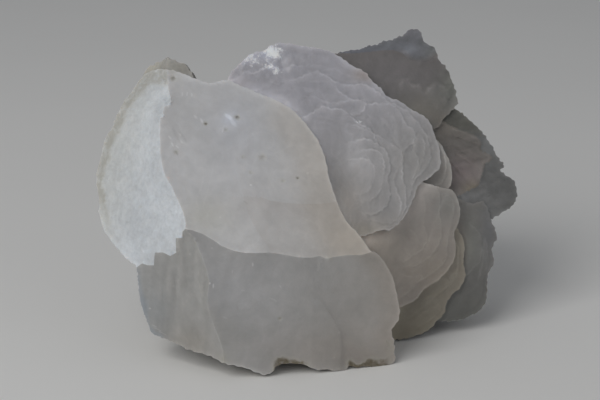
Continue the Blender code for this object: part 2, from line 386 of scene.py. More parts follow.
def crossed(grid, value, corners, level):
    """Where one triangle of each grid cell is crossed by a level line: pairs of points."""
    rows, columns = value.shape
    places = []
    sides = []
    for down, across in corners:
        part = (slice(down, rows - 1 + down), slice(across, columns - 1 + across))
        places.append(grid[part].reshape(-1, 2))
        sides.append(value[part].ravel() - level)
    hits = []
    masks = []
    for first, second in ((0, 1), (1, 2), (2, 0)):
        over = (sides[first] > 0) != (sides[second] > 0)
        share = sides[first] / np.where(over, sides[first] - sides[second], 1.0)
        hits.append(places[first] + (places[second] - places[first]) * share[:, None])
        masks.append(over)
    found = []
    for first, second in ((0, 1), (1, 2), (0, 2)):
        both = masks[first] & masks[second]
        found.append(np.stack([hits[first][both], hits[second][both]], axis=1))
    return np.concatenate(found)


def speck_ring(pit, share):
    """A small uneven ring round a pit, a little longer than it is wide."""
    u, v, radius, _ = pit
    angle = np.arange(9) * math.tau / 9 + u
    reach = radius * share * (1.0 + 0.18 * np.sin(2.0 * angle + 3.0 * v))
    return np.column_stack([u + reach * np.cos(angle), v + 0.85 * reach * np.sin(angle)])


def streak_ring(streak, share):
    """A slim ring round a streak."""
    u, v, length, width, turn, _ = streak
    angle = np.arange(10) * math.tau / 10 + 0.3
    along = length * share * np.cos(angle)
    aside = width * share * np.sin(angle)
    way = heading(turn)
    return np.column_stack([
        u + way[0] * along - way[1] * aside, v + way[1] * along + way[0] * aside])


# ---------------------------------------------------------------- one crystal

def net(ring, loops, lines, segments, pitch, seed):
    """Triangles that fill the ring and keep every loop, line and segment as edges."""
    coords = []
    edges = []
    closed = [ring] + loops
    for number, line in enumerate(closed + lines):
        start = len(coords)
        coords.extend(line.tolist())
        edges.extend((start + i, start + i + 1) for i in range(len(line) - 1))
        if number < len(closed):
            edges.append((start + len(line) - 1, start))
    known = {}
    for pair in np.round(segments, 4).tolist():
        ends = []
        for place in map(tuple, pair):
            if place not in known:
                known[place] = len(coords)
                coords.append(place)
            ends.append(known[place])
        if ends[0] != ends[1]:
            edges.append(tuple(ends))
    tree = KDTree(len(coords))
    for index, place in enumerate(coords):
        tree.insert((*place, 0.0), index)
    tree.balance()
    low = ring.min(axis=0)
    high = ring.max(axis=0)
    rows = []
    for number, v in enumerate(np.arange(low[1], high[1], pitch * ROW)):
        u = np.arange(low[0] + (number % 2) * pitch * 0.5, high[0], pitch)
        rows.append(np.stack([u, np.full(len(u), v)], axis=1))
    grid = np.concatenate(rows)
    grid += np.random.default_rng(seed).uniform(-JITTER, JITTER, grid.shape) * pitch
    for place in grid[inside(grid, ring)].tolist():
        if tree.find((*place, 0.0))[2] > pitch * APART:
            coords.append(place)
    return triangulated(coords, edges, ring)


def rim_loop(faces):
    """The indices round the edge of a net, in the order that its triangles wind."""
    pairs = np.concatenate([faces[:, [0, 1]], faces[:, [1, 2]], faces[:, [2, 0]]])
    held = set(map(tuple, pairs.tolist()))
    follow = {first: second for first, second in held if (second, first) not in held}
    loop = [next(iter(follow))]
    while follow[loop[-1]] != loop[0]:
        loop.append(follow[loop[-1]])
    return loop


@dataclass
class Crystal:
    """A tabular crystal: a front built on a net, a rim, and a stem to the common root.

    After grow() it holds points that stand in the world, triangles (faces), a zone for each
    triangle (kinds), and for each point how near it is to a rim (lips, 0 to 1), which sets
    its painted rim light.
    """

    zone: str                    # of the front
    knots: list                  # outline of the front
    roof: object                 # gives the front's height over points
    rim: float                   # thickness at the edge
    root: tuple                  # where the stem ends
    seed: int
    side: str = "thin_side"      # zone of the rim and the stem
    stem: float = 0.5            # width of the stem's end, as a share of the front's
    step: float = 0.65           # spacing of points on the outline
    pitch: float = 1.0           # spacing of points on the front
    jags: tuple = ()
    terraces: tuple = ()
    shelves: Shelves = None
    lines: tuple = ()            # kept as edges of the front's net
    pits: tuple = ()
    streaks: tuple = ()
    relief: tuple = (0.1, 0.06)  # broad and fine unevenness of the front
    # The rim's brightness is partly painted light, for light glowing through the thin edge, and
    # partly paler frosted stone.
    edge_lip: float = 0.8        # brightness of the rim
    zoned: object = None         # gives the zones of the front's triangles, if it has several
    turn: Matrix = None          # stands the crystal in the growth frame

    def height(self, points):
        """Height of the front over each point, and how near it is to a lip."""
        u, v = points.T
        level = np.array(self.roof(points), float)
        lip = np.zeros(len(points))
        for layer in (*self.terraces, self.shelves):
            if layer:
                rise, near = layer.cover(points)
                level += rise
                lip = np.maximum(lip, near)
        for across, up, size, strength in self.pits:
            away = np.hypot(u - across, v - up)
            level -= 0.4 * strength * size * bell(away, 0.7 * size)
        broad, fine = self.relief
        level += uneven(points, (broad, 6.5, self.seed + 3), (fine, 1.9, self.seed + 4))
        return level, lip

    def grow(self):
        """Makes the closed body."""
        ring = toothed(curve_through(self.knots, self.step), self.jags, self.seed)
        loops = [line for terrace in self.terraces for line in terrace.lines]
        loops += [speck_ring(pit, share) for pit in self.pits for share in SPECK_RINGS]
        loops += [streak_ring(streak, share) for streak in self.streaks for share in STREAK_RINGS]
        lines = [straight(line, self.pitch * 0.8) for line in self.lines]
        segments = np.zeros((0, 2, 2))
        if self.shelves:
            segments = self.shelves.segments(ring, self.pitch * 0.7)
        flat, faces = net(ring, loops, lines, segments, self.pitch, self.seed)
        level, lip = self.height(flat)
        gap, _ = nearest(flat, ring, closed=True)
        lip = np.maximum(lip, self.edge_lip * bell(gap, 0.8))
        zones = np.full(len(faces), ZONE[self.zone])
        if self.zoned:
            zones = self.zoned(flat[faces].mean(axis=1))
        self.close(np.column_stack([flat, level]), faces, zones, lip)
        return self

    def wall(self, edge, top):
        """The rings of points that draw the rim and the stem down from the front's edge."""
        normal = outward(edge)
        along = walked(edge)
        flat = np.zeros(len(edge))
        rib = swell(along, flat, 1.5, self.seed + 20)[:, None]
        rings = []
        for share in RIM_RINGS:
            push = (0.05 + 0.22 * rib) * min(1.0, share * 2.0)
            rings.append(np.column_stack([edge + normal * push, top - self.rim * share]))
        near = rings[-1]
        root = np.array(self.root, float)
        far = np.column_stack([root[:2] + (edge - root[:2]) * self.stem, flat + root[2]])
        for share in STEM_RINGS:
            place = near + (far - near) * share
            wave = swell(along, flat + share * 40.0, 6.0, self.seed + 21)
            ripple = swell(along, flat + share * 9.0, 2.2, self.seed + 22)
            push = (0.9 * wave + 0.35 * ripple) * math.sin(math.pi * share)
            place[:, :2] += normal * push[:, None]
            rings.append(place)
        # The painted rim light fades down the rim.
        return rings, (self.edge_lip, 0.5 * self.edge_lip, 0.2, 0.0, 0.0, 0.0)

    def close(self, front, faces, zones, lip):
        """Joins the front, the wall and an end cap into one closed surface."""
        upper = np.array(rim_loop(faces))
        count = len(upper)
        rings, masks = self.wall(front[upper, :2], front[upper, 2])
        points = [front]
        triangles = [faces]
        lips = [lip]
        total = len(front)
        turn = np.roll(np.arange(count), -1)
        for ring, mask in zip(rings, masks):
            lower = np.arange(count) + total
            points.append(ring)
            lips.append(np.full(count, mask))
            total += count
            triangles.append(np.column_stack([upper, lower, lower[turn]]))
            triangles.append(np.column_stack([upper, lower[turn], upper[turn]]))
            upper = lower
        end = rings[-1][:, :2]
        _, cap = triangulated(end, list(enumerate(turn.tolist())), end)
        triangles.append(upper[cap][:, ::-1])
        self.faces = np.concatenate(triangles)
        sides = np.full(len(self.faces) - len(faces), ZONE[self.side])
        self.kinds = np.concatenate([zones, sides])
        self.lips = np.concatenate(lips)
        matrix = np.array(STAND @ self.turn if self.turn else STAND)
        self.world = np.concatenate(points) @ matrix[:3, :3].T + matrix[:3, 3]


# ---------------------------------------------------------------- the great plate

# The lines along which its faces meet; the four of them come together at its corner.
CORNER = (-32.9, -8.3)
LEFT_UPPER = [
    (-39.9, 44), (-39.9, 39.3), (-39.2, 36.3), (-39, 32.9), (-38.3, 30.5), (-38.1, 28.2),
    (-40, 27.4), (-40.3, 25.9), (-39.8, 24.6), (-41, 24.1), (-41, 19.6), (-40.6, 13.4),
    (-39.9, 9.7), (-38.9, 6.7), (-37, 3.8), (-35.8, 1.2), (-34.6, -1.2), (-33.5, -3.7),
    (-32.7, -7), CORNER,
]
LEFT_LOWER = [
    CORNER, (-33.7, -9.1), (-33.7, -10.8), (-35.7, -11), (-35.7, -15.2), (-37.5, -16.2),
    (-39.8, -15.2), (-42.2, -15.3), (-42.7, -19.1), (-44.7, -19.1), (-46.3, -18.6), (-49, -20.4),
    (-54, -22),
]
UPPER_LOWER = [
    CORNER, (-30.7, -8.7), (-27.9, -9.7), (-24.8, -11.5), (-22.4, -13.2), (-18.9, -14.6),
    (-15.5, -15.2), (-12.1, -15.2), (-8.4, -15.1), (-4.3, -15.8), (-0.3, -16.6), (2.9, -16.7),
    (5.7, -16.2), (7.5, -17), (9.6, -16.6), (13.7, -16), (18.1, -16), (21.7, -14.9), (28, -13.5),
]
FLANK = [
    CORNER, (-30.6, -10.4), (-29.8, -12.3), (-27.9, -16.7), (-26.8, -20.2), (-26.1, -23.7),
    (-26.6, -26.6), (-27, -30.2), (-25.6, -34.9), (-23.7, -40), (-22.6, -43.9), (-22.1, -53),
]
# Boundaries inside the stone that show through its faces.
VEIL = [
    (-0.9, -25.3), (3.2, -27.1), (6.7, -30.4), (9.7, -34.9), (11.8, -39.1), (12.4, -43.7),
    (12.1, -47.3),
]
SHELF_LINE = [(-11.5, 0.9), (-8.5, -0.2), (-4, -0.9), (1.5, -1.2), (6, -1.1), (10.3, -0.6)]
ARC_LINE = [(-16.2, -0.6), (-15, -4), (-13.2, -7.6), (-11, -11), (-8.8, -14.2)]

APEX = (-32.3, -10.6, 0.0)
UPPER_FACE = (APEX, (0.25, 0.45))
LEFT_FACES = [
    (APEX, (-0.92, 0.16)), ((-40.0, 9.6, -7.2), (-0.95, 0.40)),
    ((-40.9, 24.4, -13.6), (-0.88, 0.72)),
]
LOWER_FACES = [
    (APEX, (0.00, -0.31)), ((-17.2, -14.9, -1.9), (0.18, -0.35)),
    ((2.9, -16.8, -6.1), (0.34, -0.35)),
]
FLANK_FACE = (APEX, (-0.60, -0.55))

GREAT_KNOTS = [
    (-61.9, 4.9), (-61.7, 9.1), (-60.4, 13.7), (-59.5, 17.9), (-56.9, 22.1), (-55.1, 26.6),
    (-53.3, 30), (-50.9, 33.3), (-49.1, 36), (-46.2, 38.6), (-42.8, 39.2), (-38.9, 38.9),
    (-35.8, 38.2), (-32.2, 36.7), (-30.2, 36.1), (-28.4, 35.2), (-26.3, 35), (-24.3, 35.6),
    (-22.5, 36), (-20.1, 35.4), (-16.5, 33.9), (-12.9, 32.4), (-9, 30.9), (-4.8, 28.8), (-2.1, 27),
    (0.9, 24), (3.3, 21), (5.4, 17.9), (6.9, 14.3), (8, 10.4), (8.6, 7.1), (10, 2.4), (11.8, -2.4),
    (13.8, -6.2), (16.7, -9.4), (18.8, -12), (20.5, -14.6), (22.6, -15.8), (24.4, -17.6),
    (26.3, -20.6), (27.8, -23.7), (28.8, -28.2), (29.8, -32.8), (29.3, -36.2), (27.5, -38.9),
    (28.2, -42.6), (28.6, -46.6), (28.6, -48.8), (26.2, -50), (24.1, -50.8), (21.6, -50.3),
    (19.8, -49.8), (17.1, -50.3), (14.9, -49.6), (14.2, -50.5), (13.7, -51.1), (11, -51),
    (8.3, -50.6), (5.3, -50.5), (3, -49.8), (0.9, -48.8), (-1.8, -48.5), (-5, -48.4),
    (-7.1, -49.3), (-7.5, -50.5), (-10, -51.7), (-12.7, -51), (-14.7, -50.1), (-17.9, -49.1),
    (-21.2, -48.2), (-23.6, -47.5), (-25.7, -46.3), (-29, -45.6), (-32.7, -44.6), (-36.3, -43.2),
    (-40.3, -41.5), (-44.4, -39.9), (-45.2, -37.7), (-46.3, -34.6), (-47.4, -31.3), (-47.8, -27.9),
    (-48.2, -23.7), (-48.3, -20), (-51.1, -17.7), (-54.1, -14.9), (-56.8, -12), (-59.6, -7.8),
    (-60.7, -4.5), (-60.8, -1.5), (-61.2, 1.5),
]
# Its toothed stretches: height and pitch of the teeth, and the middle and reach of the stretch.
GREAT_JAGS = [
    (0.55, 2.4, (-58, 8), 42), (0.45, 1.7, (-24, 36), 20), (0.3, 2.9, (20, 20), 42),
    (0.55, 2.6, (0, -52), 48), (0.3, 1.3, (-45, -30), 26),
]
# Specks of deposit sunk in it: place, radius and strength.
SPECKS = [
    (-18.7, 24.6, 0.9, 0.95), (-27.8, 22.5, 0.72, 1), (-22, 20.8, 0.65, 0.7),
    (-11.1, 12.6, 1.25, 0.62), (-0.6, 6.5, 0.65, 1), (-5, 5.6, 0.7, 0.6), (-14.5, 8, 0.65, 0.5),
    (-16.8, 12.7, 0.7, 0.45), (-36.2, 14, 0.8, 0.65), (-40.4, 35.4, 0.9, 0.7),
    (-37.7, 36.2, 1.1, 0.85), (-5.8, -34.6, 0.7, 0.75), (-47, -2, 0.6, 0.4),
]
# Short streaks in it: middle, half length, half width, turn in degrees, gain.
STREAKS = [
    (-34.9, 31.4, 0.9, 0.22, 90, 0.12), (-33.5, 31.5, 0.9, 0.22, 85, 0.15),
    (-32.1, 31.2, 0.8, 0.22, 95, 0.15), (-30.9, 24.6, 0.9, 0.32, -48, 0.15),
    (-29, 23.4, 1, 0.32, -58, 0.2), (-21.2, 24.7, 1.6, 0.6, -35, 0.24),
    (-19.8, 22.9, 1.5, 0.6, -50, 0.17), (-22.8, 20.6, 0.8, 0.25, 80, 0.12),
    (-38.1, 18.3, 0.7, 0.25, -50, 0.16), (-37.3, 16.3, 0.8, 0.25, -60, 0.2),
    (-35.9, 15.6, 0.7, 0.22, -40, 0.16), (-34.7, 17.1, 0.7, 0.22, -45, 0.13),
    (-35.2, 19.2, 0.6, 0.2, -45, 0.13), (-36.5, 19.4, 3, 0.45, -62, -0.08),
    (-34.2, 18.4, 3, 0.45, -58, -0.07), (-35.9, 13.7, 0.8, 0.3, -70, -0.2),
    (-14.4, 4.4, 0.35, 0.3, 0, 0.22), (-29.6, 1.3, 5, 0.7, -63, -0.025),
    (-31.5, 1.5, 6.2, 0.7, -67, 0.02), (-15.8, -0.7, 1.1, 0.25, -38, -0.08),
    (-13.6, -18.6, 0.6, 0.25, 90, 0.32), (-26, -24, 0.34, 0.26, 60, 0.6),
    (-25, -24.8, 0.8, 0.24, 88, 0.42), (-25.2, -13.8, 0.4, 0.26, 0, 0.2),
    (-5.7, -25.1, 0.6, 0.2, -60, 0.17), (-7.4, -29.1, 1.2, 0.22, -35, 0.12),
    (-8.6, -28.5, 0.9, 0.2, -40, 0.1), (-21.7, -34.2, 1, 0.28, -20, 0.1),
    (-16.5, -26.2, 0.8, 0.18, 0, 0.12), (-19.5, -20.6, 0.5, 0.2, 90, 0.14),
    (-44.6, -32.2, 0.4, 0.3, 0, 0.4), (-43.4, -37.6, 1.2, 0.18, -24, 0.22),
    (-42.4, -38.6, 1.6, 0.18, -24, 0.22), (-41, -39.7, 1.8, 0.18, -26, 0.22),
]


def great_regions(points):
    """The zone of the great plate's face that each point is on."""
    rings = {
        "lower": UPPER_LOWER + [(60, -13.5), (60, -90), (-22.1, -90)] + FLANK[:0:-1],
        "flank": FLANK + [(-22.1, -90), (-90, -90), (-90, -22)] + LEFT_LOWER[:0:-1],
        "left": LEFT_UPPER + LEFT_LOWER[1:] + [(-90, -22), (-90, 60), (-39.9, 60)],
    }
    region = np.full(len(points), ZONE["upper"])
    for name, ring in rings.items():
        region[inside(points, ring)] = ZONE[name]
    return region


def seam(points, line, level, faces, reach):
    """What brings faces to their neighbour's level along a shared line, and how near it is."""
    samples = straight(line, SEAM_STEP)
    offset = level(samples) - lowest(faces, samples)
    spread = bell(np.arange(-SEAM_REACH, SEAM_REACH + 1), 0.5 * SEAM_REACH)
    offset = np.pad(offset, SEAM_REACH, "edge")
    offset = np.convolve(offset, spread / spread.sum(), "valid")
    distance, place = nearest(points, line)
    shared = np.empty(len(points))
    for rows in batches(len(points)):
        off = place[rows][:, None] - samples
        shared[rows] = offset[np.argmin(np.hypot(off[..., 0], off[..., 1]), axis=1)]
    return bell(distance, reach) * shared, distance


def great_upper(points):
    """The broad upper face, with faint shelves."""
    u, v = points.T
    level = plane(UPPER_FACE, points)
    level += 0.22 * swell(u + 0.4 * v, v - 0.3 * u, 19.0, 301)
    shelf = np.sin((v - 0.35 * u + 1.8 * swell(u, v, 12.0, 302)) / 2.6)
    return level + 0.05 * np.clip(shelf * 3.0, -1.0, 1.0)


def great_lower(points):
    """The lower face, with a low ledge along the veil in it."""
    u, v = points.T
    extra, _ = seam(points, UPPER_LOWER, great_upper, LOWER_FACES, 5.0)
    distance, place = nearest(points, VEIL)
    side = np.where(u > place[:, 0], 1.0, -1.0)
    ledge = -0.22 * side * np.exp(-distance / 5.0) * ramp(distance, 0.0, 0.6)
    ledge = ledge * ramp(v, -25.0, -33.0)
    return lowest(LOWER_FACES, points) + extra + ledge + uneven(points, (0.2, 15.0, 305))


def great_flank(points):
    """The narrow face at the lower left, ribbed from top to bottom."""
    u, v = points.T
    extra, distance = seam(points, FLANK, great_lower, [FLANK_FACE], 4.0)
    rib = swell(u + 0.12 * v, v * 0.12, 1.5, 306)
    coarse = swell(u + 0.12 * v, v * 0.10, 3.6, 307)
    ribs = (0.34 * rib + 0.40 * coarse) * ramp(distance, 0.2, 2.0) * ramp(v, -48.0, -24.0)
    step = 0.2 * ramp(distance, 0.0, 0.5) * np.exp(-distance / 6.0) * ramp(v, -42.0, -26.0)
    return plane(FLANK_FACE, points) + extra + ribs - step


def great_left(points):
    """The frosted left face, rough all over but for its shared edges."""
    u, v = points.T
    first, near = seam(points, LEFT_UPPER, great_upper, LEFT_FACES, 5.0)
    second, far = seam(points, LEFT_LOWER, great_flank, LEFT_FACES, 4.0)
    total = near + far + TOGETHER
    grain = uneven(points, (0.16, 2.2, 308), (0.10, 1.1, 309))
    grain += 0.25 * swell(u, v * 0.6, 8.0, 310)
    grain = grain * ramp(np.minimum(near, far), 0.0, 1.5)
    return lowest(LEFT_FACES, points) + first * far / total + second * near / total + grain


def great_roof(points):
    """Height of the great plate's front: four faces that share their edges."""
    region = great_regions(points)
    level = np.empty(len(points))
    for name, face in zip(GREAT_FACES, (great_left, great_upper, great_lower, great_flank)):
        chosen = region == ZONE[name]
        if chosen.any():
            level[chosen] = face(points[chosen])
    return level


def great_shelves(points):
    """A measure for shelves on the great plate: close along its toothed top, sparse below."""
    u, v = points.T
    drift = uneven(points, (0.9, 13.0, 311), (0.25, 3.5, 312))
    return 0.16 * v - 0.10 * u + 0.0016 * (u + 20.0) ** 2 + drift


def great_plate():
    """The large front crystal."""
    return Crystal(
        "upper", GREAT_KNOTS, great_roof, 7.0, (-4, -12, -60), 11, "great_side", stem=0.6,
        step=0.62, pitch=0.85, jags=GREAT_JAGS, shelves=Shelves(great_shelves, 0.04, 0.16, 0.08),
        lines=[LEFT_UPPER, LEFT_LOWER, UPPER_LOWER, FLANK, VEIL, SHELF_LINE, ARC_LINE],
        pits=SPECKS, streaks=STREAKS, relief=(0.06, 0.03), edge_lip=0.35, zoned=great_regions)


# ---------------------------------------------------------------- the knob and the foot

KNOB_KNOTS = [
    (-48, 37), (-47, 39.2), (-45.5, 40.9), (-44.5, 40.8), (-43.4, 41.6), (-42, 41.7),
    (-40.9, 42.2), (-39.8, 43), (-38.8, 42.3), (-37.4, 42.1), (-36.2, 41.2), (-35, 41.2),
    (-33.9, 40.2), (-33, 38.8), (-32.1, 37.4), (-31.8, 35), (-36, 31), (-44, 32),
]
KNOB_FACES = [((-43.0, 39.0, -25.8), (-1.0, 0.45)), ((-38.0, 40.0, -23.2), (0.0, 0.36))]
FOOT_KNOTS = [
    (-34, -14), (-20, 4), (2, 6), (18, -6), (26, -26), (22, -44), (0, -47), (-24, -42), (-36, -30),
]
FOOT_FACE = ((-6.0, -20.0, -30.0), (0.0, 0.2))
BULGE = ((20.0, -13.0), (7.0, 7.0))  # middle and reach of a bulge beside the great plate


def flat_roof(faces, rough, size, seed, bulge=0.0):
    """A front of flat faces, gently uneven, that may bulge."""
    def roof(points):
        mound = bulge * blot(*points.T, *BULGE)
        return lowest(faces, points) + uneven(points, (rough, size, seed)) + mound
    return roof


def knob():
    """A low blunt ridge that peeps over the great plate's upper left corner."""
    return Crystal(
        "knob", KNOB_KNOTS, flat_roof(KNOB_FACES, 0.3, 3.4, 61), 7.0, (-2, -14, -59), 31,
        "knob", stem=0.7, step=0.5, pitch=0.6, jags=[(0.4, 1.5, None, 0)],
        relief=(0.12, 0.12), edge_lip=0.25)


def foot():
    """The stout crystal behind that carries the cluster down to its broken foot."""
    return Crystal(
        "foot", FOOT_KNOTS, flat_roof([FOOT_FACE], 0.4, 8.0, 181), 28.0, (-4, -22, -68), 26,
        "foot", stem=0.75, step=1.2, pitch=2.2, relief=(0.2, 0.1))


# ---------------------------------------------------------------- the shell and its neighbours

SHELL_KNOTS = [
    (-23.6, 34.6), (-22.2, 36.4), (-20.4, 39.6), (-18.3, 41.8), (-15.9, 44), (-13.5, 45.3),
    (-11, 46), (-9.2, 47.3), (-7.4, 47.9), (-5.8, 48.6), (-5.2, 48.3), (-2.8, 48.2), (0, 47.7),
    (2.8, 47.2), (5.6, 46.9), (8, 46.3), (10.2, 45.7), (12, 44.5), (13.9, 43.3), (16.1, 41.7),
    (18.5, 40.5), (20.4, 39.3), (21.9, 37.4), (23.8, 35.5), (25.6, 34), (26.9, 32.1), (29, 31.2),
    (30.9, 30.6), (32.5, 29.7), (34, 28.4), (36.2, 27.2), (38.7, 25.7), (40.2, 24.1), (41.4, 21.3),
    (42.3, 18.5), (43.2, 15.4), (43.3, 12.9), (43.1, 10.1), (41.5, 8.3), (39.6, 6.7), (38, 5.8),
    (36.1, 4), (35.1, 1.2), (33.5, -1.8), (31.9, -4.9), (29.7, -7.3), (27.2, -9.1), (24.6, -9.2),
    (21.8, -10.2), (17, -11.6), (0, -18), (-20, 0), (-26, 20),
]
SHELL_FACE = ((9.0, 18.0, -31.5), (0.20, 0.25))
# Growth layers of the shell: step, the way their front faces, rim.
SHELL_TERRACES = [
    (0.4, (0.6, 0.5), [
        (-19.4, 31.8), (-17, 34.9), (-13.7, 37.1), (-10.4, 37.8), (-6.7, 36.6), (-3.1, 37),
        (0, 37.7), (2.8, 39.3), (5.5, 39.6), (8.3, 38.4), (10.4, 36.9), (12.9, 36), (16, 35.7),
        (19.1, 36.1), (22.2, 34.9), (25, 32.7), (27.1, 30.8), (29.6, 29.6), (32.7, 28.1),
        (35.5, 25.3), (37.9, 22.2), (39.7, 18.8), (40.3, 15.1), (39.9, 11.4), (38, 8.6),
        (35.5, 6.1), (34.2, 2.7), (33.2, -0.6), (31.9, -3.3), (30.3, -6.1), (27.5, -7.9),
        (23.6, -8.8), (15.1, -7.5), (3, 3), (-15.1, 24.2),
    ]),
    (0.22, (0.9, 0.5), [
        (4.6, 36.4), (8.6, 36.9), (11.4, 34.3), (14.3, 32), (17, 31), (20.6, 30.4), (18, 26),
        (9, 28), (4, 32),
    ]),
    (0.42, (0.8, 0.4), [
        (-11.5, 31), (-7.6, 32.9), (-3.7, 32.3), (0, 31.1), (3.7, 32.1), (6.7, 30.9), (9.5, 30),
        (12.6, 30.4), (15.4, 31), (18.4, 31), (20.9, 29.8), (23.7, 29.9), (26.8, 30), (28.9, 29.4),
        (31, 27.6), (31.6, 26), (32.4, 24.6), (33.3, 23.2), (35, 22.1), (35.8, 19.9), (35.1, 17.7),
        (33.3, 16.2), (32.3, 14.8), (31.9, 12.5), (31.5, 10), (31.6, 7.8), (31.8, 5.5), (32.5, 3),
        (32.6, -0.6), (31.9, -3.9), (30.3, -6.4), (28.2, -7.9), (25.4, -8.5), (21.7, -7.9),
        (15.1, -6), (3, 4.5), (-6.1, 21.2),
    ]),
    (0.32, (0.9, 0.2), [
        (14, 23), (21, 21.4), (24.6, 19.6), (27, 18.2), (29.3, 16.7), (31, 15.5), (31.8, 13.4),
        (31.1, 10.9), (30, 9), (28.9, 5.9), (29.6, 2.9), (30.9, 0.1), (31.1, -1.9), (30.6, -4.6),
        (29.1, -6.4), (26.6, -7.3), (23, -6.7), (14.6, -4.2), (8, 8),
    ]),
    (0.46, (0.2, 0.98), [
        (-3, 22.5), (4.6, 27.4), (7.3, 29), (9.5, 28.2), (13.1, 28.1), (14.8, 26.7), (17, 24.9),
        (18.4, 23.5), (20.2, 22.9), (21.6, 21.6), (23, 19.8), (24, 15), (12, 12), (-3, 16),
    ]),
    (0.55, (0.95, 0.15), [
        (11, 16), (17, 18.4), (20, 19), (22.5, 18), (24.6, 16.7), (26.1, 15.9), (27, 13.8),
        (27.7, 10.9), (27.9, 8.7), (26.9, 6.6), (27.5, 3.3), (27.3, 0.5), (26.1, -2.1), (22, -4.6),
        (14, -2), (9, 9),
    ]),
    (0.26, (1, 0.1), [
        (12.6, 13), (18.2, 15.2), (22.4, 15.8), (24.8, 14.6), (25.8, 12.2), (26, 9.4), (25.6, 6.4),
        (24.9, 3.2), (23, 0.6), (18, -0.6), (12.5, 6),
    ]),
    (0.12, (1, 0.1), [
        (11.9, 11), (17, 12.8), (20.4, 12.6), (22.7, 10.7), (23, 7.9), (22.4, 5), (20.8, 2.4),
        (16.5, 1.4), (10.8, 3.8),
    ]),
    (0.3, (1, 0), [
        (34.2, 15.4), (36.1, 13.9), (36.6, 10.8), (35.4, 7.7), (34, 4.5), (33.4, 1.4), (31.9, 1.4),
        (31.6, 5), (32, 10),
    ]),
    (0.28, (1, 0.2), [
        (36.9, 20.8), (38.6, 17.3), (38.4, 13.6), (37.2, 10.2), (35.4, 7.2), (33.5, 5.4),
        (33.9, 9.3), (34.4, 13.7), (35, 18),
    ]),
    (0.22, (-0.45, 0.9), [
        (-21.8, 35.8), (-18.8, 37.4), (-16.4, 39.6), (-14, 39), (-11.6, 40.3), (-8.6, 41),
        (-4.9, 40.4), (-2.5, 41.7), (1.2, 41.1), (4.3, 41.8), (8.8, 41.2), (11.6, 39.4),
        (10.4, 37.2), (0, 36), (-6.1, 35.3), (-17, 32.2),
    ]),
]

SILL_KNOTS = [
    (20, 27), (30, 26), (37, 22), (43, 18.2), (45.5, 14), (47, 10), (47, 5.5), (43.5, 0), (31, -6),
    (15, -10), (10, 10),
]
APRON_KNOTS = [
    (20, 4), (30, 7), (38, 5.5), (43, 4), (47, 3), (49, -0.5), (49.5, -4.5), (48.9, -7.5),
    (47.6, -10.5), (48.2, -13.5), (48, -18), (45.5, -22), (43, -24.6), (38.5, -27.5), (35.5, -31),
    (31, -33), (22, -36), (10, -20),
]
LEDGE_KNOTS = [
    (30, 0), (44, -3), (50.5, -11), (51.5, -14), (51.2, -19), (51.8, -24), (50.2, -27.6),
    (48.5, -29), (46, -32), (45.4, -35), (42.5, -38.5), (40, -41), (36, -42.5), (31, -43.5),
    (20, -43), (12, -30),
]
OUTER_KNOTS = [
    (40, 4), (53.2, -1), (57.5, -0.5), (60.1, -6), (60.8, -7.9), (61.8, -9.8), (62.2, -11.7),
    (61.2, -13.6), (60.6, -15.5), (61.1, -17.7), (61.3, -19.9), (60.3, -21.8), (59.3, -23.7),
    (59.2, -26.5), (59.1, -29.7), (58.8, -32.6), (57.5, -34.1), (56.2, -35.4), (53.9, -36.6),
    (52, -37.5), (49.7, -38), (46.4, -38.3), (40, -37.5), (30, -36), (24, -20),
]
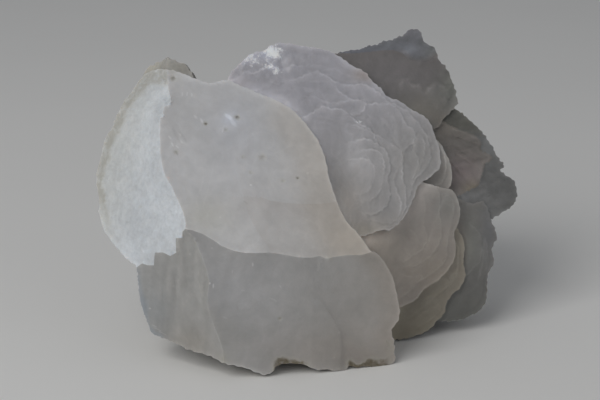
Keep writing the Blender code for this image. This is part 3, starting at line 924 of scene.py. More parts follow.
# The thinner plates: zone, outline, face, bulge, height of the teeth, thickness, root, and
# the step and rim of each growth layer.
RIGHT_PLATES = [
    ("sill", SILL_KNOTS, ((44, 14, -41), (0.15, 0.1)), 0, 0.35, 4, (6, 0, -69), [
        (0.45, [
            (38.4, 21.7), (42.2, 18.6), (44.4, 15.5), (45.4, 12.1), (45.4, 8.7), (44, 5),
            (40.8, 4.3), (33.9, 9.2),
        ]),
    ]),
    ("apron", APRON_KNOTS, ((43, -10, -38), (0.25, -0.1)), 4, 0.35, 5, (5, -10, -68), [
        (0.55, [
            (36.2, 4.9), (39.3, 4.6), (42.5, 3.4), (43.4, 0), (43.1, -4), (43.8, -8),
            (43.5, -11.7), (42, -15.4), (38.2, -19.1), (33.9, -20.9), (30.1, -19), (30.6, -6.1),
        ]),
        (0.25, [
            (36.8, 3.1), (38.1, 1.2), (38.7, -3.1), (38.1, -7.4), (39.4, -11.7), (37.6, -15.4),
            (33.8, -17.2), (30.7, -12.3), (31.9, -1.5),
        ]),
        (0.2, [
            (30.7, -9.2), (33.2, -8.6), (35.7, -10.5), (36.6, -13.5), (35.1, -16.6), (32, -19.1),
            (29.5, -17.8), (28.2, -12.3),
        ]),
        (0.4, [
            (44.6, 1.6), (47.2, 0.2), (47.6, -4), (46.4, -9), (45.6, -14), (45.2, -18.6),
            (41.6, -22.4), (36.4, -25.6), (31, -28.8), (27, -26), (36, -20),
        ]),
        (0.35, [
            (29, -22), (34, -23.5), (38, -23.4), (36, -26.2), (32, -29.6), (27, -31.6), (24, -30),
        ]),
    ]),
    ("ledge", LEDGE_KNOTS, ((48, -25, -45), (0.25, -0.15)), 0, 0.6, 5, (8, -16, -72), [
        (0.6, [
            (47.3, -12.5), (49.4, -14.4), (49.7, -19.4), (49, -23.8), (46.9, -26.9), (43.7, -29.1),
            (39.9, -30.9), (34.9, -33.5), (31.1, -34.1), (37.3, -18.6),
        ]),
        (0.5, [
            (44.6, -24), (46.8, -25.4), (44.9, -28.4), (42.4, -30.3), (39.9, -32.8), (36.4, -35.3),
            (32.7, -37.8), (28.5, -38.7), (30.3, -31.1), (38.5, -27.1),
        ]),
        (0.45, [
            (43.2, -32.4), (44.2, -34), (41.2, -37.4), (37.6, -39.6), (32.4, -41.2), (28, -41),
            (33, -38.4),
        ]),
    ]),
    ("outer", OUTER_KNOTS, ((58, -20, -49), (0.2, -0.1)), 0, 0.6, 5, (10, -18, -74), [
        (0.6, [
            (50, -5.5), (52.5, -6.4), (54.2, -7.9), (56.4, -10.1), (57.3, -13.5), (57.5, -16.5),
            (56.7, -19.7), (54.8, -21.6), (52.5, -24), (50, -26), (47, -20), (47, -10),
        ]),
        (0.4, [
            (58.2, -12), (59.4, -16), (59.2, -21), (57.9, -25), (57.4, -30), (55.4, -33.4),
            (51, -35.6), (47, -35.8), (50, -31), (55, -27), (57, -20),
        ]),
    ]),
]


def spreading(middle, pitch, broad, fine, squash=1.0):
    """A measure for shelves a pitch apart that spread round a middle.

    They drift in broad and in fine waves, each given by its height, size and seed.
    """
    def measure(points):
        u, v = points.T
        reach = np.hypot(u - middle[0], squash * (v - middle[1]))
        return reach / pitch + uneven(points, broad, fine)
    return measure


def shell_roof(points):
    """A flat face, crumbled at the top and draped toward the right."""
    u, v = points.T
    patch = blot(u, v, (-9.0, 41.5), (10.0, 5.5))
    level = plane(SHELL_FACE, points)
    level += patch * uneven(points, (0.55, 2.4, 71), (0.35, 1.3, 72))
    drape = swell(u * 1.8, v * 0.35, 2.6, 73) * ramp(u, 8.0, 24.0)
    return level + uneven(points, (0.28, 7.5, 74)) + 0.12 * drape


def shell_plate():
    """The broad crystal behind, its front built up in scalloped terraces."""
    growth = spreading((2.0, 2.0), 2.7, (1.15, 7.0, 77), (0.55, 3.0, 78), 0.8)
    return Crystal(
        "shell", SHELL_KNOTS, shell_roof, 5.0, (0, -12, -71), 12, "shell_side", pitch=0.85,
        jags=[(0.5, 2.3, None, 0)],
        terraces=[
            Terrace(knots, 0.55 * step, 0.32, 2.1, 80 + number, 0.5, front)
            for number, (step, front, knots) in enumerate(SHELL_TERRACES)
        ],
        shelves=Shelves(growth, 0.07, 0.14, 0.3), relief=(0.09, 0.06), edge_lip=0.5)


def right_plates():
    """The stack of thinner plates that fans out to the right and downward."""
    plates = []
    for index, plate in enumerate(RIGHT_PLATES):
        name, knots, face, bulge, jag, rim, root, layers = plate
        growth = spreading((12.0, -6.0), 3.4, (1.0, 8.0, 130 + index), (0.4, 3.2, 135))
        plates.append(Crystal(
            name, knots, flat_roof([face], 0.28, 6.5, 140 + index, bulge), rim, root,
            20 + index, jags=[(jag, 2.2, None, 0)],
            terraces=[
                Terrace(ring, 0.38 * step, 0.2, 2.3, 120 + 10 * index + number, 0.5, (1.0, -0.3))
                for number, (step, ring) in enumerate(layers)
            ],
            shelves=Shelves(growth, 0.05, 0.14, 0.35), edge_lip=0.55))
    return plates


# ---------------------------------------------------------------- the peak and the fan

PEAK_KNOTS = [
    (6.9, 44.5), (11, 45.9), (13.5, 46.5), (15.8, 47), (18, 47.5), (19.9, 47.7), (21.9, 48.8),
    (24.1, 49.1), (26.4, 50.6), (28.6, 50.8), (30.6, 52), (32.6, 52.5), (33.9, 54), (35.9, 54.8),
    (38, 54.6), (39, 53.2), (39.6, 50.8), (41.1, 49.7), (43, 49.1), (43.9, 47.1), (44.5, 44.5),
    (46.1, 42.9), (47.3, 40.6), (48.6, 38.1), (49.4, 34.9), (49.9, 32.6), (49.7, 30.6), (49.1, 29),
    (47.2, 27.2), (45.2, 25.4), (43.4, 22.8), (25, 15), (8, 30),
]
# The line between the peak's broad face and the steep brow above it.
BROW = [
    (0, 45.2), (6, 45.2), (11.8, 45.7), (16.2, 45.7), (21.3, 46.3), (25.8, 47), (29.3, 47.2),
    (32.2, 46.4), (34.7, 44.2), (37.3, 43.3), (40.5, 43.7), (43.2, 45.7), (46.5, 47.8), (52, 50),
]
PEAK_FACE = ((35, 35, -47), (0.35, 0.30))
BROW_FACE = ((33, 43, -49), (0.15, 0.75))
PALE_LAYER = [
    (31.4, 37.6), (33.9, 38.3), (35.2, 36.5), (37.8, 36.5), (39, 34), (40.3, 35.3), (43, 37.3),
    (46.2, 35.4), (47, 32.2), (44, 28.3), (37.6, 27.6), (31.3, 31.9),
]

FAN_KNOTS = [
    (30, 20), (40, 30), (46, 29.8), (49.2, 29), (52.2, 26.9), (55.4, 24.4), (58.1, 21.6),
    (60.4, 18.4), (62, 15.6), (63.6, 12.7), (64.8, 11.8), (64.9, 10.8), (63.9, 9.2), (65.6, 8),
    (67.6, 7), (68.9, 4.8), (69.3, 2.6), (69, 0.6), (68.3, -1), (66.4, -2.9), (63.7, -4.4),
    (61.1, -5.7), (58.4, -7.2), (55.5, -6), (51, -3.5), (40, -4), (28, -6),
]
FAN_EDGE = [
    (38, 28), (44.3, 25.2), (48, 23.3), (51.5, 21.8), (55.2, 20.6), (57.4, 18.4), (57.2, 16),
    (60.3, 14.4), (60.8, 13), (58.6, 11.4), (57.6, 8.4), (56.2, 4.6), (53.4, 3.1), (50.7, 2),
    (46, -1), (36, 0), (34, 14),
]
FAN_FACE = ((55, 8, -50), (0.40, 0.20))
HEART = np.array((33.0, 25.0))  # where the fan's ridges start
RIDGE_ENDS = [(59.0, 17.5), (63.0, 11.0), (67.5, 3.5), (65.0, -3.5), (57.0, -6.5)]
# Darker streaks in the fan, as brushed outward from its heart; given as STREAKS are.
FAN_STREAKS = [
    (49.9, 19.7, 1.3, 0.448, 24, -0.08), (52.7, 16.4, 2.6, 0.476, 15, -0.1),
    (50.3, 14.5, 2.2, 0.476, 13, -0.07), (54.8, 18.6, 1.8, 0.42, 14, -0.06),
    (56.6, 13.1, 3, 0.504, 9, -0.08), (53.6, 12, 2.4, 0.476, 4, -0.06),
    (48.6, 17.3, 1.6, 0.42, 22, -0.06), (51.6, 21, 2, 0.42, -16, 0.05),
    (61.8, 6.2, 2.4, 0.56, 28, -0.05), (58.6, 1.6, 2.8, 0.588, 20, -0.06),
    (63.6, 1.4, 2.2, 0.56, 30, -0.05), (60.8, -2.4, 2.4, 0.56, 24, -0.05),
    (64.8, 5.4, 1.6, 0.476, 40, 0.07), (57, 4.6, 2, 0.504, 18, 0.05),
]


def peak_low(points):
    """The peak's broad face."""
    return plane(PEAK_FACE, points) + uneven(points, (0.28, 8.0, 151))


def brow_above(points):
    """Which points lie above the line of the brow."""
    return inside(points, BROW + [(60, 90), (0, 90)])


def peak_roof(points):
    """The broad face, the rougher brow above it and a crumbled right edge."""
    u, v = points.T
    extra, _ = seam(points, BROW, peak_low, [BROW_FACE], 5.0)
    rough = uneven(points, (0.28, 2.6, 152), (0.15, 1.2, 153))
    brow = plane(BROW_FACE, points) + extra + rough
    level = np.where(brow_above(points), brow, peak_low(points))
    edge = blot(u, v, (47.0, 38.0), (4.0, 12.0))
    return level + edge * uneven(points, (0.5, 2.0, 154), (0.3, 1.1, 155))


def peak_zones(middle):
    """Zones of the peak's front."""
    return np.where(brow_above(middle), ZONE["brow"], ZONE["peak"])


def fan_roof(points):
    """A flat face with ridges that spread from its heart to its rim."""
    off = points - HEART
    reach = np.maximum(np.hypot(off[:, 0], off[:, 1]), TOGETHER)
    angle = np.arctan2(off[:, 1], off[:, 0])
    level = plane(FAN_FACE, points)
    for end in RIDGE_ENDS:
        span = np.array(end) - HEART
        part = reach / np.hypot(*span)
        gap = reach * np.abs(np.sin(angle - math.atan2(span[1], span[0])))
        crest = np.clip(1.0 - gap / (0.5 + 1.3 * part), 0.0, 1.0)
        level += 0.75 * crest * part * ramp(part, 1.05, 0.75)
    fine = np.abs(swell(angle * 40.0, reach * 0.15, 1.6, 161))
    level += (0.42 * fine + uneven(points, (0.15, 2.0, 162))) * ramp(reach, 6.0, 16.0)
    return level + uneven(points, (0.25, 7.0, 163))


def fan_zones(middle):
    """Zones of the fan's front."""
    front = inside(middle, curve_through(FAN_EDGE, 0.7))
    return np.where(front, ZONE["fan"], ZONE["fan_back"])


def crown():
    """The peaked crystal at the upper right and the ridged fan below it."""
    return [
        Crystal(
            "peak", PEAK_KNOTS, peak_roof, 5.0, (6, 8, -74), 24, step=0.6,
            jags=[(0.45, 2.0, None, 0), (0.9, 2.4, (48, 40), 15.0), (0.7, 1.7, (22, 49), 15.0)],
            terraces=[Terrace(PALE_LAYER, 0.25, 0.35, 2.0, 172, 1.0, (0.3, 1.0))], lines=[BROW],
            relief=(0.12, 0.08), edge_lip=0.4, zoned=peak_zones),
        Crystal(
            "fan", FAN_KNOTS, fan_roof, 6.0, (14, -4, -76), 25, step=0.6, pitch=0.9,
            jags=[(0.8, 2.1, None, 0)], terraces=[Terrace(FAN_EDGE, 0.45, 0.35, 2.2, 171, 0.9)],
            streaks=FAN_STREAKS, relief=(0.08, 0.08), edge_lip=0.5, zoned=fan_zones),
    ]


# ---------------------------------------------------------------- the hind plates

# Plates that face backwards: radius, lobes and how far they swell, turn of the lobes, slope
# of the faces, turn and tip of the plate in degrees, and its middle.
HIND_PLATES = [
    (33, 5, 0.06, 0.4, 0.30, 168.0, -6.0, (-18, 0, -68)),
    (23, 5, 0.07, 1.1, 0.34, 184.0, -8.0, (8, 5, -76)),
    (27, 4, 0.07, 1.9, 0.36, 198.0, 5.0, (29, -12, -78)),
    (23, 5, 0.08, 2.7, 0.34, 188.0, -24.0, (27, 23, -77)),
    (25, 4, 0.06, 0.9, 0.32, 177.0, 20.0, (0, -28, -71)),
]


def lobed(radius, lobes, swelling, turn):
    """Knots of a rounded outline that swells gently into a few lobes."""
    knots = []
    for index in range(16):
        angle = math.tau * index / 16
        reach = radius * (1.0 + swelling * math.cos(lobes * angle + turn))
        reach -= radius * 0.04 * math.cos(2.0 * angle + 1.3 * turn)
        knots.append((reach * math.cos(angle), reach * math.sin(angle)))
    return knots


def hind_plate(number, radius, lobes, swelling, phase, steep, turn, tip, middle):
    """A low three-sided pyramid with growth layers, which stands off the common root."""
    faces = []
    lines = []
    for index in range(3):
        angle = math.radians(90.0 + 120.0 * index)
        faces.append(((0.0, 0.0, 0.0), (steep * math.cos(angle), steep * math.sin(angle))))
        back = angle + math.pi
        lines.append([(0.0, 0.0), (1.3 * radius * math.cos(back), 1.3 * radius * math.sin(back))])
    terraces = []
    chance = np.random.default_rng(200 + number)
    for layer, share in enumerate((0.86, 0.7, 0.52)):
        at = chance.uniform(-0.12, 0.12, 2) * radius
        ring = np.array(lobed(radius * share, lobes + 2 + layer, 0.07, phase + layer)) + at
        terraces.append(Terrace(ring, 0.45, 0.3, 2.6, 210 + 10 * number + layer, 0.6))
    growth = spreading((0.0, 0.0), 3.6, (1.1, 8.0, 230 + number), (0.4, 3.0, 240 + number))
    return Crystal(
        "hind", lobed(radius, lobes, swelling, phase), flat_roof(faces, 0.3, 7.0, 190 + number),
        4.0, (0.0, 0.0, -24.0), 40 + number, "hind", step=0.85, pitch=1.35,
        jags=[(0.7, 2.8, None, 0)], terraces=terraces, lines=lines,
        shelves=Shelves(growth, 0.10, 0.14, 0.4), relief=(0.15, 0.10),
        turn=Matrix.Translation(middle) @ Matrix.Rotation(math.radians(tip), 4, "X")
        @ Matrix.Rotation(math.radians(turn), 4, "Y"))


def all_crystals():
    """Every crystal of the cluster, front to back."""
    crystals = [great_plate(), knob(), foot(), shell_plate()] + right_plates() + crown()
    crystals += [hind_plate(number, *plate) for number, plate in enumerate(HIND_PLATES)]
    return [crystal.grow() for crystal in crystals]


# ---------------------------------------------------------------- one stone

def solid(name, crystal):
    """A mesh object of one crystal."""
    mesh = bpy.data.meshes.new(name)
    mesh.from_pydata(crystal.world.tolist(), [], crystal.faces.tolist())
    mesh.update()
    item = bpy.data.objects.new(name, mesh)
    bpy.context.scene.collection.objects.link(item)
    return item


def fused(crystals):
    """All crystals joined into one surface with nothing inside it."""
    whole = solid("calcite_stone", crystals[0])
    for crystal in crystals[1:]:
        part = solid("part", crystal)
        union = whole.modifiers.new("union", "BOOLEAN")
        union.operation = "UNION"
        union.solver = "MANIFOLD"
        union.object = part
        bpy.context.view_layer.update()
        graph = bpy.context.evaluated_depsgraph_get()
        mesh = bpy.data.meshes.new_from_object(whole.evaluated_get(graph))
        whole.modifiers.clear()
        old = whole.data
        whole.data = mesh
        bpy.data.meshes.remove(old)
        bpy.data.objects.remove(part, do_unlink=True)
    return whole


def broken_off(item):
    """Ends the foot flat at z = 0."""
    body = bmesh.new()
    body.from_mesh(item.data)
    everything = body.verts[:] + body.edges[:] + body.faces[:]
    cut = bmesh.ops.bisect_plane(
        body, geom=everything, dist=0.001 * MM, plane_co=(0.0, 0.0, 0.0),
        plane_no=(0.0, 0.0, -1.0), clear_outer=True)
    edges = [part for part in cut["geom_cut"] if isinstance(part, bmesh.types.BMEdge)]
    bmesh.ops.holes_fill(body, edges=edges, sides=0)
    bmesh.ops.triangulate(body, faces=body.faces[:])
    body.to_mesh(item.data)
    body.free()


# ---------------------------------------------------------------- tint, frost and stain

# Tint of each zone where it is cool and where it is warm, the way from one to the other in
# the growth frame, the places where it starts and ends, and how frosted the zone is. The
# tints are partly painted light and shade: the left face is lighter for the light that its
# frost catches, and the lower face and the thin plates to the right are darker for the
# shade they lie in.
ZONE_TINTS_AND_SHADE = {
    "left": ((0.622, 0.654, 0.686), (0.605, 0.622, 0.62), (-1, 0.25), 44, 62, 1),
    "upper": ((0.591, 0.591, 0.6), (0.565, 0.547, 0.529), (0.8, -0.2), -14, 16, 0.12),
    "lower": ((0.434, 0.43, 0.429), (0.387, 0.372, 0.354), (0.8, -0.4), 0, 32, 0.15),
    "flank": ((0.388, 0.39, 0.388), (0.395, 0.39, 0.381), (1, 0), -48, -34, 0.25),
    "great_side": ((0.463, 0.455, 0.43), (0.446, 0.422, 0.397), (1, 0), -60, 30, 0.5),
    "knob": ((0.375, 0.37, 0.35), (0.315, 0.306, 0.288), (1, 0), -46, -32, 0.5),
    "shell": ((0.435, 0.43, 0.465), (0.38, 0.371, 0.371), (0.4, -1), -34, 4, 0.35),
    "shell_side": ((0.413, 0.413, 0.43), (0.364, 0.347, 0.339), (0, -1), -30, 10, 0.5),
    "sill": ((0.349, 0.336, 0.323), (0.349, 0.327, 0.305), (0, -1), -20, 0, 0.3),
    "apron": ((0.366, 0.342, 0.326), (0.35, 0.318, 0.288), (0, -1), -6, 22, 0.3),
    "ledge": ((0.321, 0.291, 0.246), (0.252, 0.23, 0.189), (-0.3, -1), 5, 26, 0.3),
    "outer": ((0.187, 0.183, 0.177), (0.142, 0.142, 0.133), (-0.2, -1), 8, 26, 0.35),
    "peak": ((0.202, 0.19, 0.188), (0.224, 0.221, 0.217), (0.3, -1), -30, -14, 0.3),
    "brow": ((0.185, 0.187, 0.198), (0.189, 0.196, 0.196), (1, 0), 36, 46, 0.7),
    "fan": ((0.202, 0.185, 0.163), (0.198, 0.185, 0.172), (0.3, -1), -14, -2, 0.3),
    "fan_back": ((0.148, 0.146, 0.13), (0.173, 0.173, 0.17), (0, -1), -23.5, -19, 0.5),
    "thin_side": ((0.281, 0.273, 0.264), (0.273, 0.264, 0.256), (1, 0), 0, 60, 0.5),
    "hind": ((0.422, 0.422, 0.43), (0.38, 0.367, 0.354), (0.7, -0.7), -30, 30, 0.35),
    "foot": ((0.38, 0.364, 0.339), (0.331, 0.306, 0.273), (0, -1), 10, 45, 0.6),
}

# Boundaries inside the stone that shade one side: zones, line, the way to that side, how far
# the shade reaches, its gain, and the heights v where it starts and where it is full.
EVERYWHERE = (-99, -98)
VEILS = [
    (("lower",), VEIL, (1, 0), 7, (0.93, 0.925, 0.925), (-24, -32)),
    (("upper",), SHELF_LINE, (0, -1), 7, (0.95, 0.93, 0.91), EVERYWHERE),
    (("upper",), ARC_LINE, (1, 0.2), 6, (0.965, 0.955, 0.945), EVERYWHERE),
    (("lower",), FLANK, (1, 0), 5, (0.9, 0.905, 0.91), (-44, -26)),
    (("flank",), FLANK, (-1, 0), 7, (1.04, 1.045, 1.04), (-44, -26)),
]

# Soft patches in the stone by zone: middle, reach along u and v, gain. Some are painted
# light, each marked where it stands: they lift the shade beside crystals in front, or glow
# round painted glints and in the brow.
PATCHES = {
    "upper": [
        ((-19, 22), (9, 12), (0.99, 1, 1.03)), ((-18.5, -10.5), (11, 5), (1.07, 1.07, 1.06)),
        ((-27.5, -4.5), (7, 5), (0.985, 0.98, 0.93)), ((16, -12), (9, 6), (0.95, 0.93, 0.9)),
        ((-20.6, 24), (2.6, 2.2), (1.12, 1.15, 1.2)),
    # Painted highlight: a soft bluish white glow round the painted glint there.
    ],
    "lower": [
        ((-20, -25), (13, 9), (1.06, 1.065, 1.08)), ((6, -44), (22, 6), (0.95, 0.92, 0.9)),
        ((26, -34), (10, 16), (1.17, 1.16, 1.16)), ((-30, -42), (9, 5), (0.99, 0.95, 0.89)),
    ],
    "flank": [
        ((-30, -42), (9, 5), (0.99, 0.95, 0.89)), ((-42, -33), (4, 6), (0.86, 0.88, 0.9)),
    ],
    "shell": [
        # Painted light: the second patch lightens the shade that the great plate casts on the
        # shell.
        ((-19.5, 33), (4, 4), (0.84, 0.81, 0.8)), ((14, -1.5), (5, 6), (1.22, 1.19, 1.14)),
        ((24, -6.5), (8, 3), (1.02, 1, 0.97)), ((22, 8), (6, 6), (1.08, 1.08, 1.09)),
        # Painted highlights: the last patch on this line and the next two glow round the painted
        # glints on the shell's top.
        ((2, 27), (4, 6), (0.92, 0.92, 0.92)), ((-9.5, 45.2), (3, 2.2), (1.4, 1.45, 1.52)),
        ((-15.5, 43.2), (3.2, 1.8), (1.25, 1.28, 1.34)),
        ((-7.8, 40.6), (2, 1.5), (1.18, 1.2, 1.24)), ((20, 38.6), (4, 2.2), (1, 0.92, 0.84)),
        ((10, 6), (9, 9), (1.1, 1.09, 1.08)), ((17, 14), (7, 8), (1.08, 1.09, 1.1)),
        ((37.5, 13), (6, 9), (0.88, 0.88, 0.87)), ((19, -9.5), (6, 2.6), (0.97, 0.93, 0.84)),
        ((16, -3), (4, 4.5), (1.08, 1.07, 1.06)),
    ],
    "knob": [
        ((-33.2, 39.5), (1.8, 2.6), (0.82, 0.81, 0.8)),
        ((-44.8, 39.6), (2.6, 2.4), (1.3, 1.27, 1.18)),
    ],
    "fan_back": [
        ((59.5, 16.5), (3.5, 4.5), (1.16, 1.18, 1.2)), ((58, -3), (7, 5), (1.05, 1.05, 1.06)),
        # Painted light: lifts the shade that the plates in front cast low on the fan.
        ((50, 1), (6, 5), (1.22, 1.22, 1.24)),
    ],
    "fan": [
        ((50, 8.5), (7, 5), (1.46, 1.34, 1.42)), ((54, 3.6), (3, 2.5), (1.16, 1.14, 0.98)),
    ],
    "outer": [
        ((53, -15), (4, 8), (1.18, 1.2, 1.16)), ((50, -14), (2.2, 8), (1.1, 1, 0.94)),
        # Painted light: the second patch on this line lifts the shade in the corner below the
        # apron.
        ((59.5, -9), (2.6, 9), (1.04, 1.06, 1.12)), ((52.5, -4.5), (5, 4), (1.32, 1.32, 1.31)),
        ((53.5, -16), (5, 9), (1.1, 1.1, 1.09)), ((50, -34), (9, 5), (1.1, 1.1, 1.09)),
    ],
    "apron": [
        ((45.5, -1.5), (4.5, 5), (0.82, 0.86, 0.86)), ((41, -22), (8, 6), (0.94, 0.93, 0.9)),
        # Painted light: lifts the shade under the shell and beside the great plate.
        ((24, -13.5), (6, 5), (1.3, 1.28, 1.24)),
    ],
    "peak": [
        ((45, 24), (5, 4), (0.84, 0.8, 0.76)), ((28, 40), (10, 6), (1.16, 1.17, 1.19)),
        ((38, 28), (9, 5), (1.12, 1.08, 1)), ((48, 37), (4, 6), (1, 1.05, 0.98)),
    ],
    "brow": [
        # Painted light: the first two patches are a soft glow where light shines through the brow.
        ((34.4, 48), (4.6, 3), (1.24, 1.27, 1.31)), ((30.5, 46.8), (4.5, 2.5), (1.12, 1.14, 1.16)),
        ((36.8, 53.6), (3, 1.8), (1.08, 1.07, 1.1)), ((18, 46), (12, 4), (0.86, 0.89, 0.96)),
    ],
    "ledge": [
        ((30, -42), (12, 6), (1.22, 1.2, 1.16)),
    ],
}

# Painted light where one crystal passes behind another: the stone behind is lightened
# beside the rim in front, to lift the shade that the front crystal casts there. Zones behind,
# rim in front, how far the painted light reaches, and how much lighter it is.
PAINTED_LIGHT_BEHIND_RIMS = [
    (("shell",), GREAT_KNOTS, 4.5, 0.12),
    (("shell",), GREAT_KNOTS, 2.2, 0.32),
    (("apron", "ledge"), GREAT_KNOTS, 3.5, 0.25),
    (("apron", "sill", "fan", "fan_back"), SHELL_KNOTS, 3.5, 0.25),
    (("apron",), SHELL_KNOTS, 3, 0.26),
    (("ledge", "outer"), APRON_KNOTS, 3.5, 0.22),
    (("outer",), LEDGE_KNOTS, 3, 0.22),
    (("fan", "fan_back"), OUTER_KNOTS, 3.5, 0.25),
]

# Bands along the great plate's rim: zone, distances from the rim where the band is full and
# where it ends, gain, and the places u where it starts and is full.
BANDS = [
    ("upper", 5, 14, (0.955, 0.93, 0.895), -14, -4),
    ("lower", 2, 9, (0.93, 0.9, 0.87), 8, 20),
    ("flank", 0.6, 2.4, (0.84, 0.89, 0.96), -38, -44),
]

# Grain of the stone: zones, the way it runs in degrees, length and width of its fibres, and
# how far it lightens and darkens them.
GRAIN = [
    (("fan",), 16, 6, 1.1, 0.1),
    (("fan_back",), 24, 5, 1.1, 0.12),
    (("flank",), 84, 8, 0.8, 0.09),
    (("brow",), 32, 3, 1, 0.22),
    (("peak",), 55, 5, 2, 0.05),
    (("outer",), 80, 5, 1.6, 0.07),
    (("ledge", "apron"), 35, 6, 2, 0.04),
    (("shell",), 70, 5, 1.7, 0.03),
    (("upper", "lower"), 62, 9, 1.8, 0.018),
]

# Stains on the great plate beside the bands in its notches: middle, size and depth.
STAINS = [
    ((-22.5, -47), 2.4, 0.6), ((8.3, -17), 1.1, 0.8), ((-37, 38.5), 3, 0.55), ((-43, 39), 3, 0.4),
]

# Painted glints by zones: patches of frosted stone where sparkling highlights are painted
# into the colour. Middle, reach along u and v, brightness.
GLINTS = {
    ("shell", "shell_side"): [
        ((-15, 42.8), (3.8, 2.4), 0.75), ((-8.4, 45.2), (3.8, 3.2), 0.95),
        ((-10, 41), (2.2, 2), 0.8), ((-7.2, 39.6), (1.8, 1.3), 0.85),
        ((17.8, 24), (1.5, 1.1), 0.62), ((-13, 36.2), (2, 1), 0.35), ((-19, 38.5), (2, 2), 0.3),
    ],
    ("upper",): [((-20.8, 24.2), (1.6, 1.3), 0.42), ((-37, 17.4), (1.6, 2.2), 0.25)],
    ("lower", "flank"): [((-25.6, -24), (1.2, 1.2), 0.2)],
}

# Zones where less rim light is painted.
MATTE = ("apron", "ledge", "outer")  # zones whose lips are duller
MATTE_GAIN = 0.55
BROKEN = 0.1 * MM           # a triangle this near the floor is on the broken foot
SHARP = math.radians(32.0)  # an edge that bends more than this is not smoothed


def among(kinds, names):
    """Which corners lie in any of the named zones."""
    return np.isin(kinds, [ZONE[name] for name in names])


def toned(tint, chosen, gain, part):
    """Multiplies the chosen corners' tint by a gain, as far as part of 0 to 1 goes."""
    tint[chosen] *= 1.0 + (np.array(gain) - 1.0) * part[:, None]


def blended(tint, chosen, colour, part):
    """Turns the chosen corners' tint to a colour, as far as part of 0 to 1 goes."""
    tint[chosen] += (np.array(colour) - tint[chosen]) * part[:, None]


def grained(kinds, u, v):
    """Gain of the grain at each corner."""
    gain = np.ones(len(kinds))
    for number, (names, turn, length, width, depth) in enumerate(GRAIN):
        chosen = among(kinds, names)
        along, aside = turned(u[chosen], v[chosen], turn)
        gain[chosen] += depth * swell(along * width / length, aside, width, 450 + number)
    return gain


def streaked(kinds, u, v):
    """Gain of the pale and dark streaks at each corner."""
    gain = np.ones(len(kinds))
    for names, streaks in ((GREAT_FACES, STREAKS), (("fan", "fan_back"), FAN_STREAKS)):
        chosen = among(kinds, names)
        for across, up, length, width, turn, extra in streaks:
            along, aside = turned(u - across, v - up, turn)
            gain += extra * ramp(np.hypot(along / length, aside / width), 1.3, 0.5) * chosen
    return gain


def zone_tint(kinds, u, v):
    """Tint and frost of corners as their zones have them, cool to warm; the tint is partly painted
    light and shade.
    """
    tint = np.zeros((len(kinds), 3))
    frost = np.zeros(len(kinds))
    for name, (cool, warm, way, start, end, frosted) in ZONE_TINTS_AND_SHADE.items():
        chosen = among(kinds, [name])
        tint[chosen] = cool
        blended(tint, chosen, warm, ramp(u[chosen] * way[0] + v[chosen] * way[1], start, end))
        frost[chosen] = frosted
    return tint, frost


def tinted(kinds, u, v, w, sides):
    """Tint, with its painted light and shade, and frost of corners, from zones and places.

    The sides are the middles of the corners' triangles, which tell on which side of a
    boundary a corner on it lies.
    """
    tint, frost = zone_tint(kinds, u, v)
    places = np.column_stack([u, v])
    brow = among(kinds, ["brow"]) & (u > 24.0)
    gap, _ = nearest(places[brow], BROW)
    blended(tint, brow, ZONE_TINTS_AND_SHADE["peak"][0], ramp(gap, 2.4, 0.0) * ramp(u[brow], 27.0, 33.0))
    for names, line, way, reach, gain, span in VEILS:
        chosen = among(kinds, names)
        distance, _ = nearest(places[chosen], line)
        _, feet = nearest(sides[chosen], line)
        beyond = (sides[chosen] - feet) @ np.array(way) > 0.0
        part = beyond * np.exp(-distance / reach) * ramp(v[chosen], *span)
        toned(tint, chosen, gain, part)
    for name, patches in PATCHES.items():
        chosen = among(kinds, [name])
        for middle, reach, gain in patches:
            toned(tint, chosen, gain, blot(u[chosen], v[chosen], middle, reach))
    both = among(kinds, ["lower", "flank"])
    gap, _ = nearest(places[both], FLANK)
    flank_tint = np.array(ZONE_TINTS_AND_SHADE["flank"][1]) * 1.02
    blended(tint, both, flank_tint, np.exp(-gap / 5.0) * ramp(v[both], -26.0, -38.0))
    rim = curve_through(GREAT_KNOTS, 1.2)
    for name, near, far, gain, start, full in BANDS:
        chosen = among(kinds, [name])
        gap, _ = nearest(places[chosen], rim, closed=True)
        wander = uneven(places[chosen], (1.5, 6.0, 402))
        toned(tint, chosen, gain, ramp(gap + wander, far, near) * ramp(u[chosen], start, full))
    # Painted light: lighten the shade beside each rim in front.
    for names, knots, reach, gain in PAINTED_LIGHT_BEHIND_RIMS:
        chosen = among(kinds, names)
        gap, _ = nearest(places[chosen], curve_through(knots, 1.5), closed=True)
        toned(tint, chosen, 1.0 + gain, bell(gap, reach))
    tint *= (grained(kinds, u, v) * streaked(kinds, u, v))[:, None]
    behind = 0.85 * among(kinds, SIDES) * ramp(w, -50.0, -66.0)
    blended(tint, slice(None), ZONE_TINTS_AND_SHADE["hind"][1], behind)
    return tint, frost


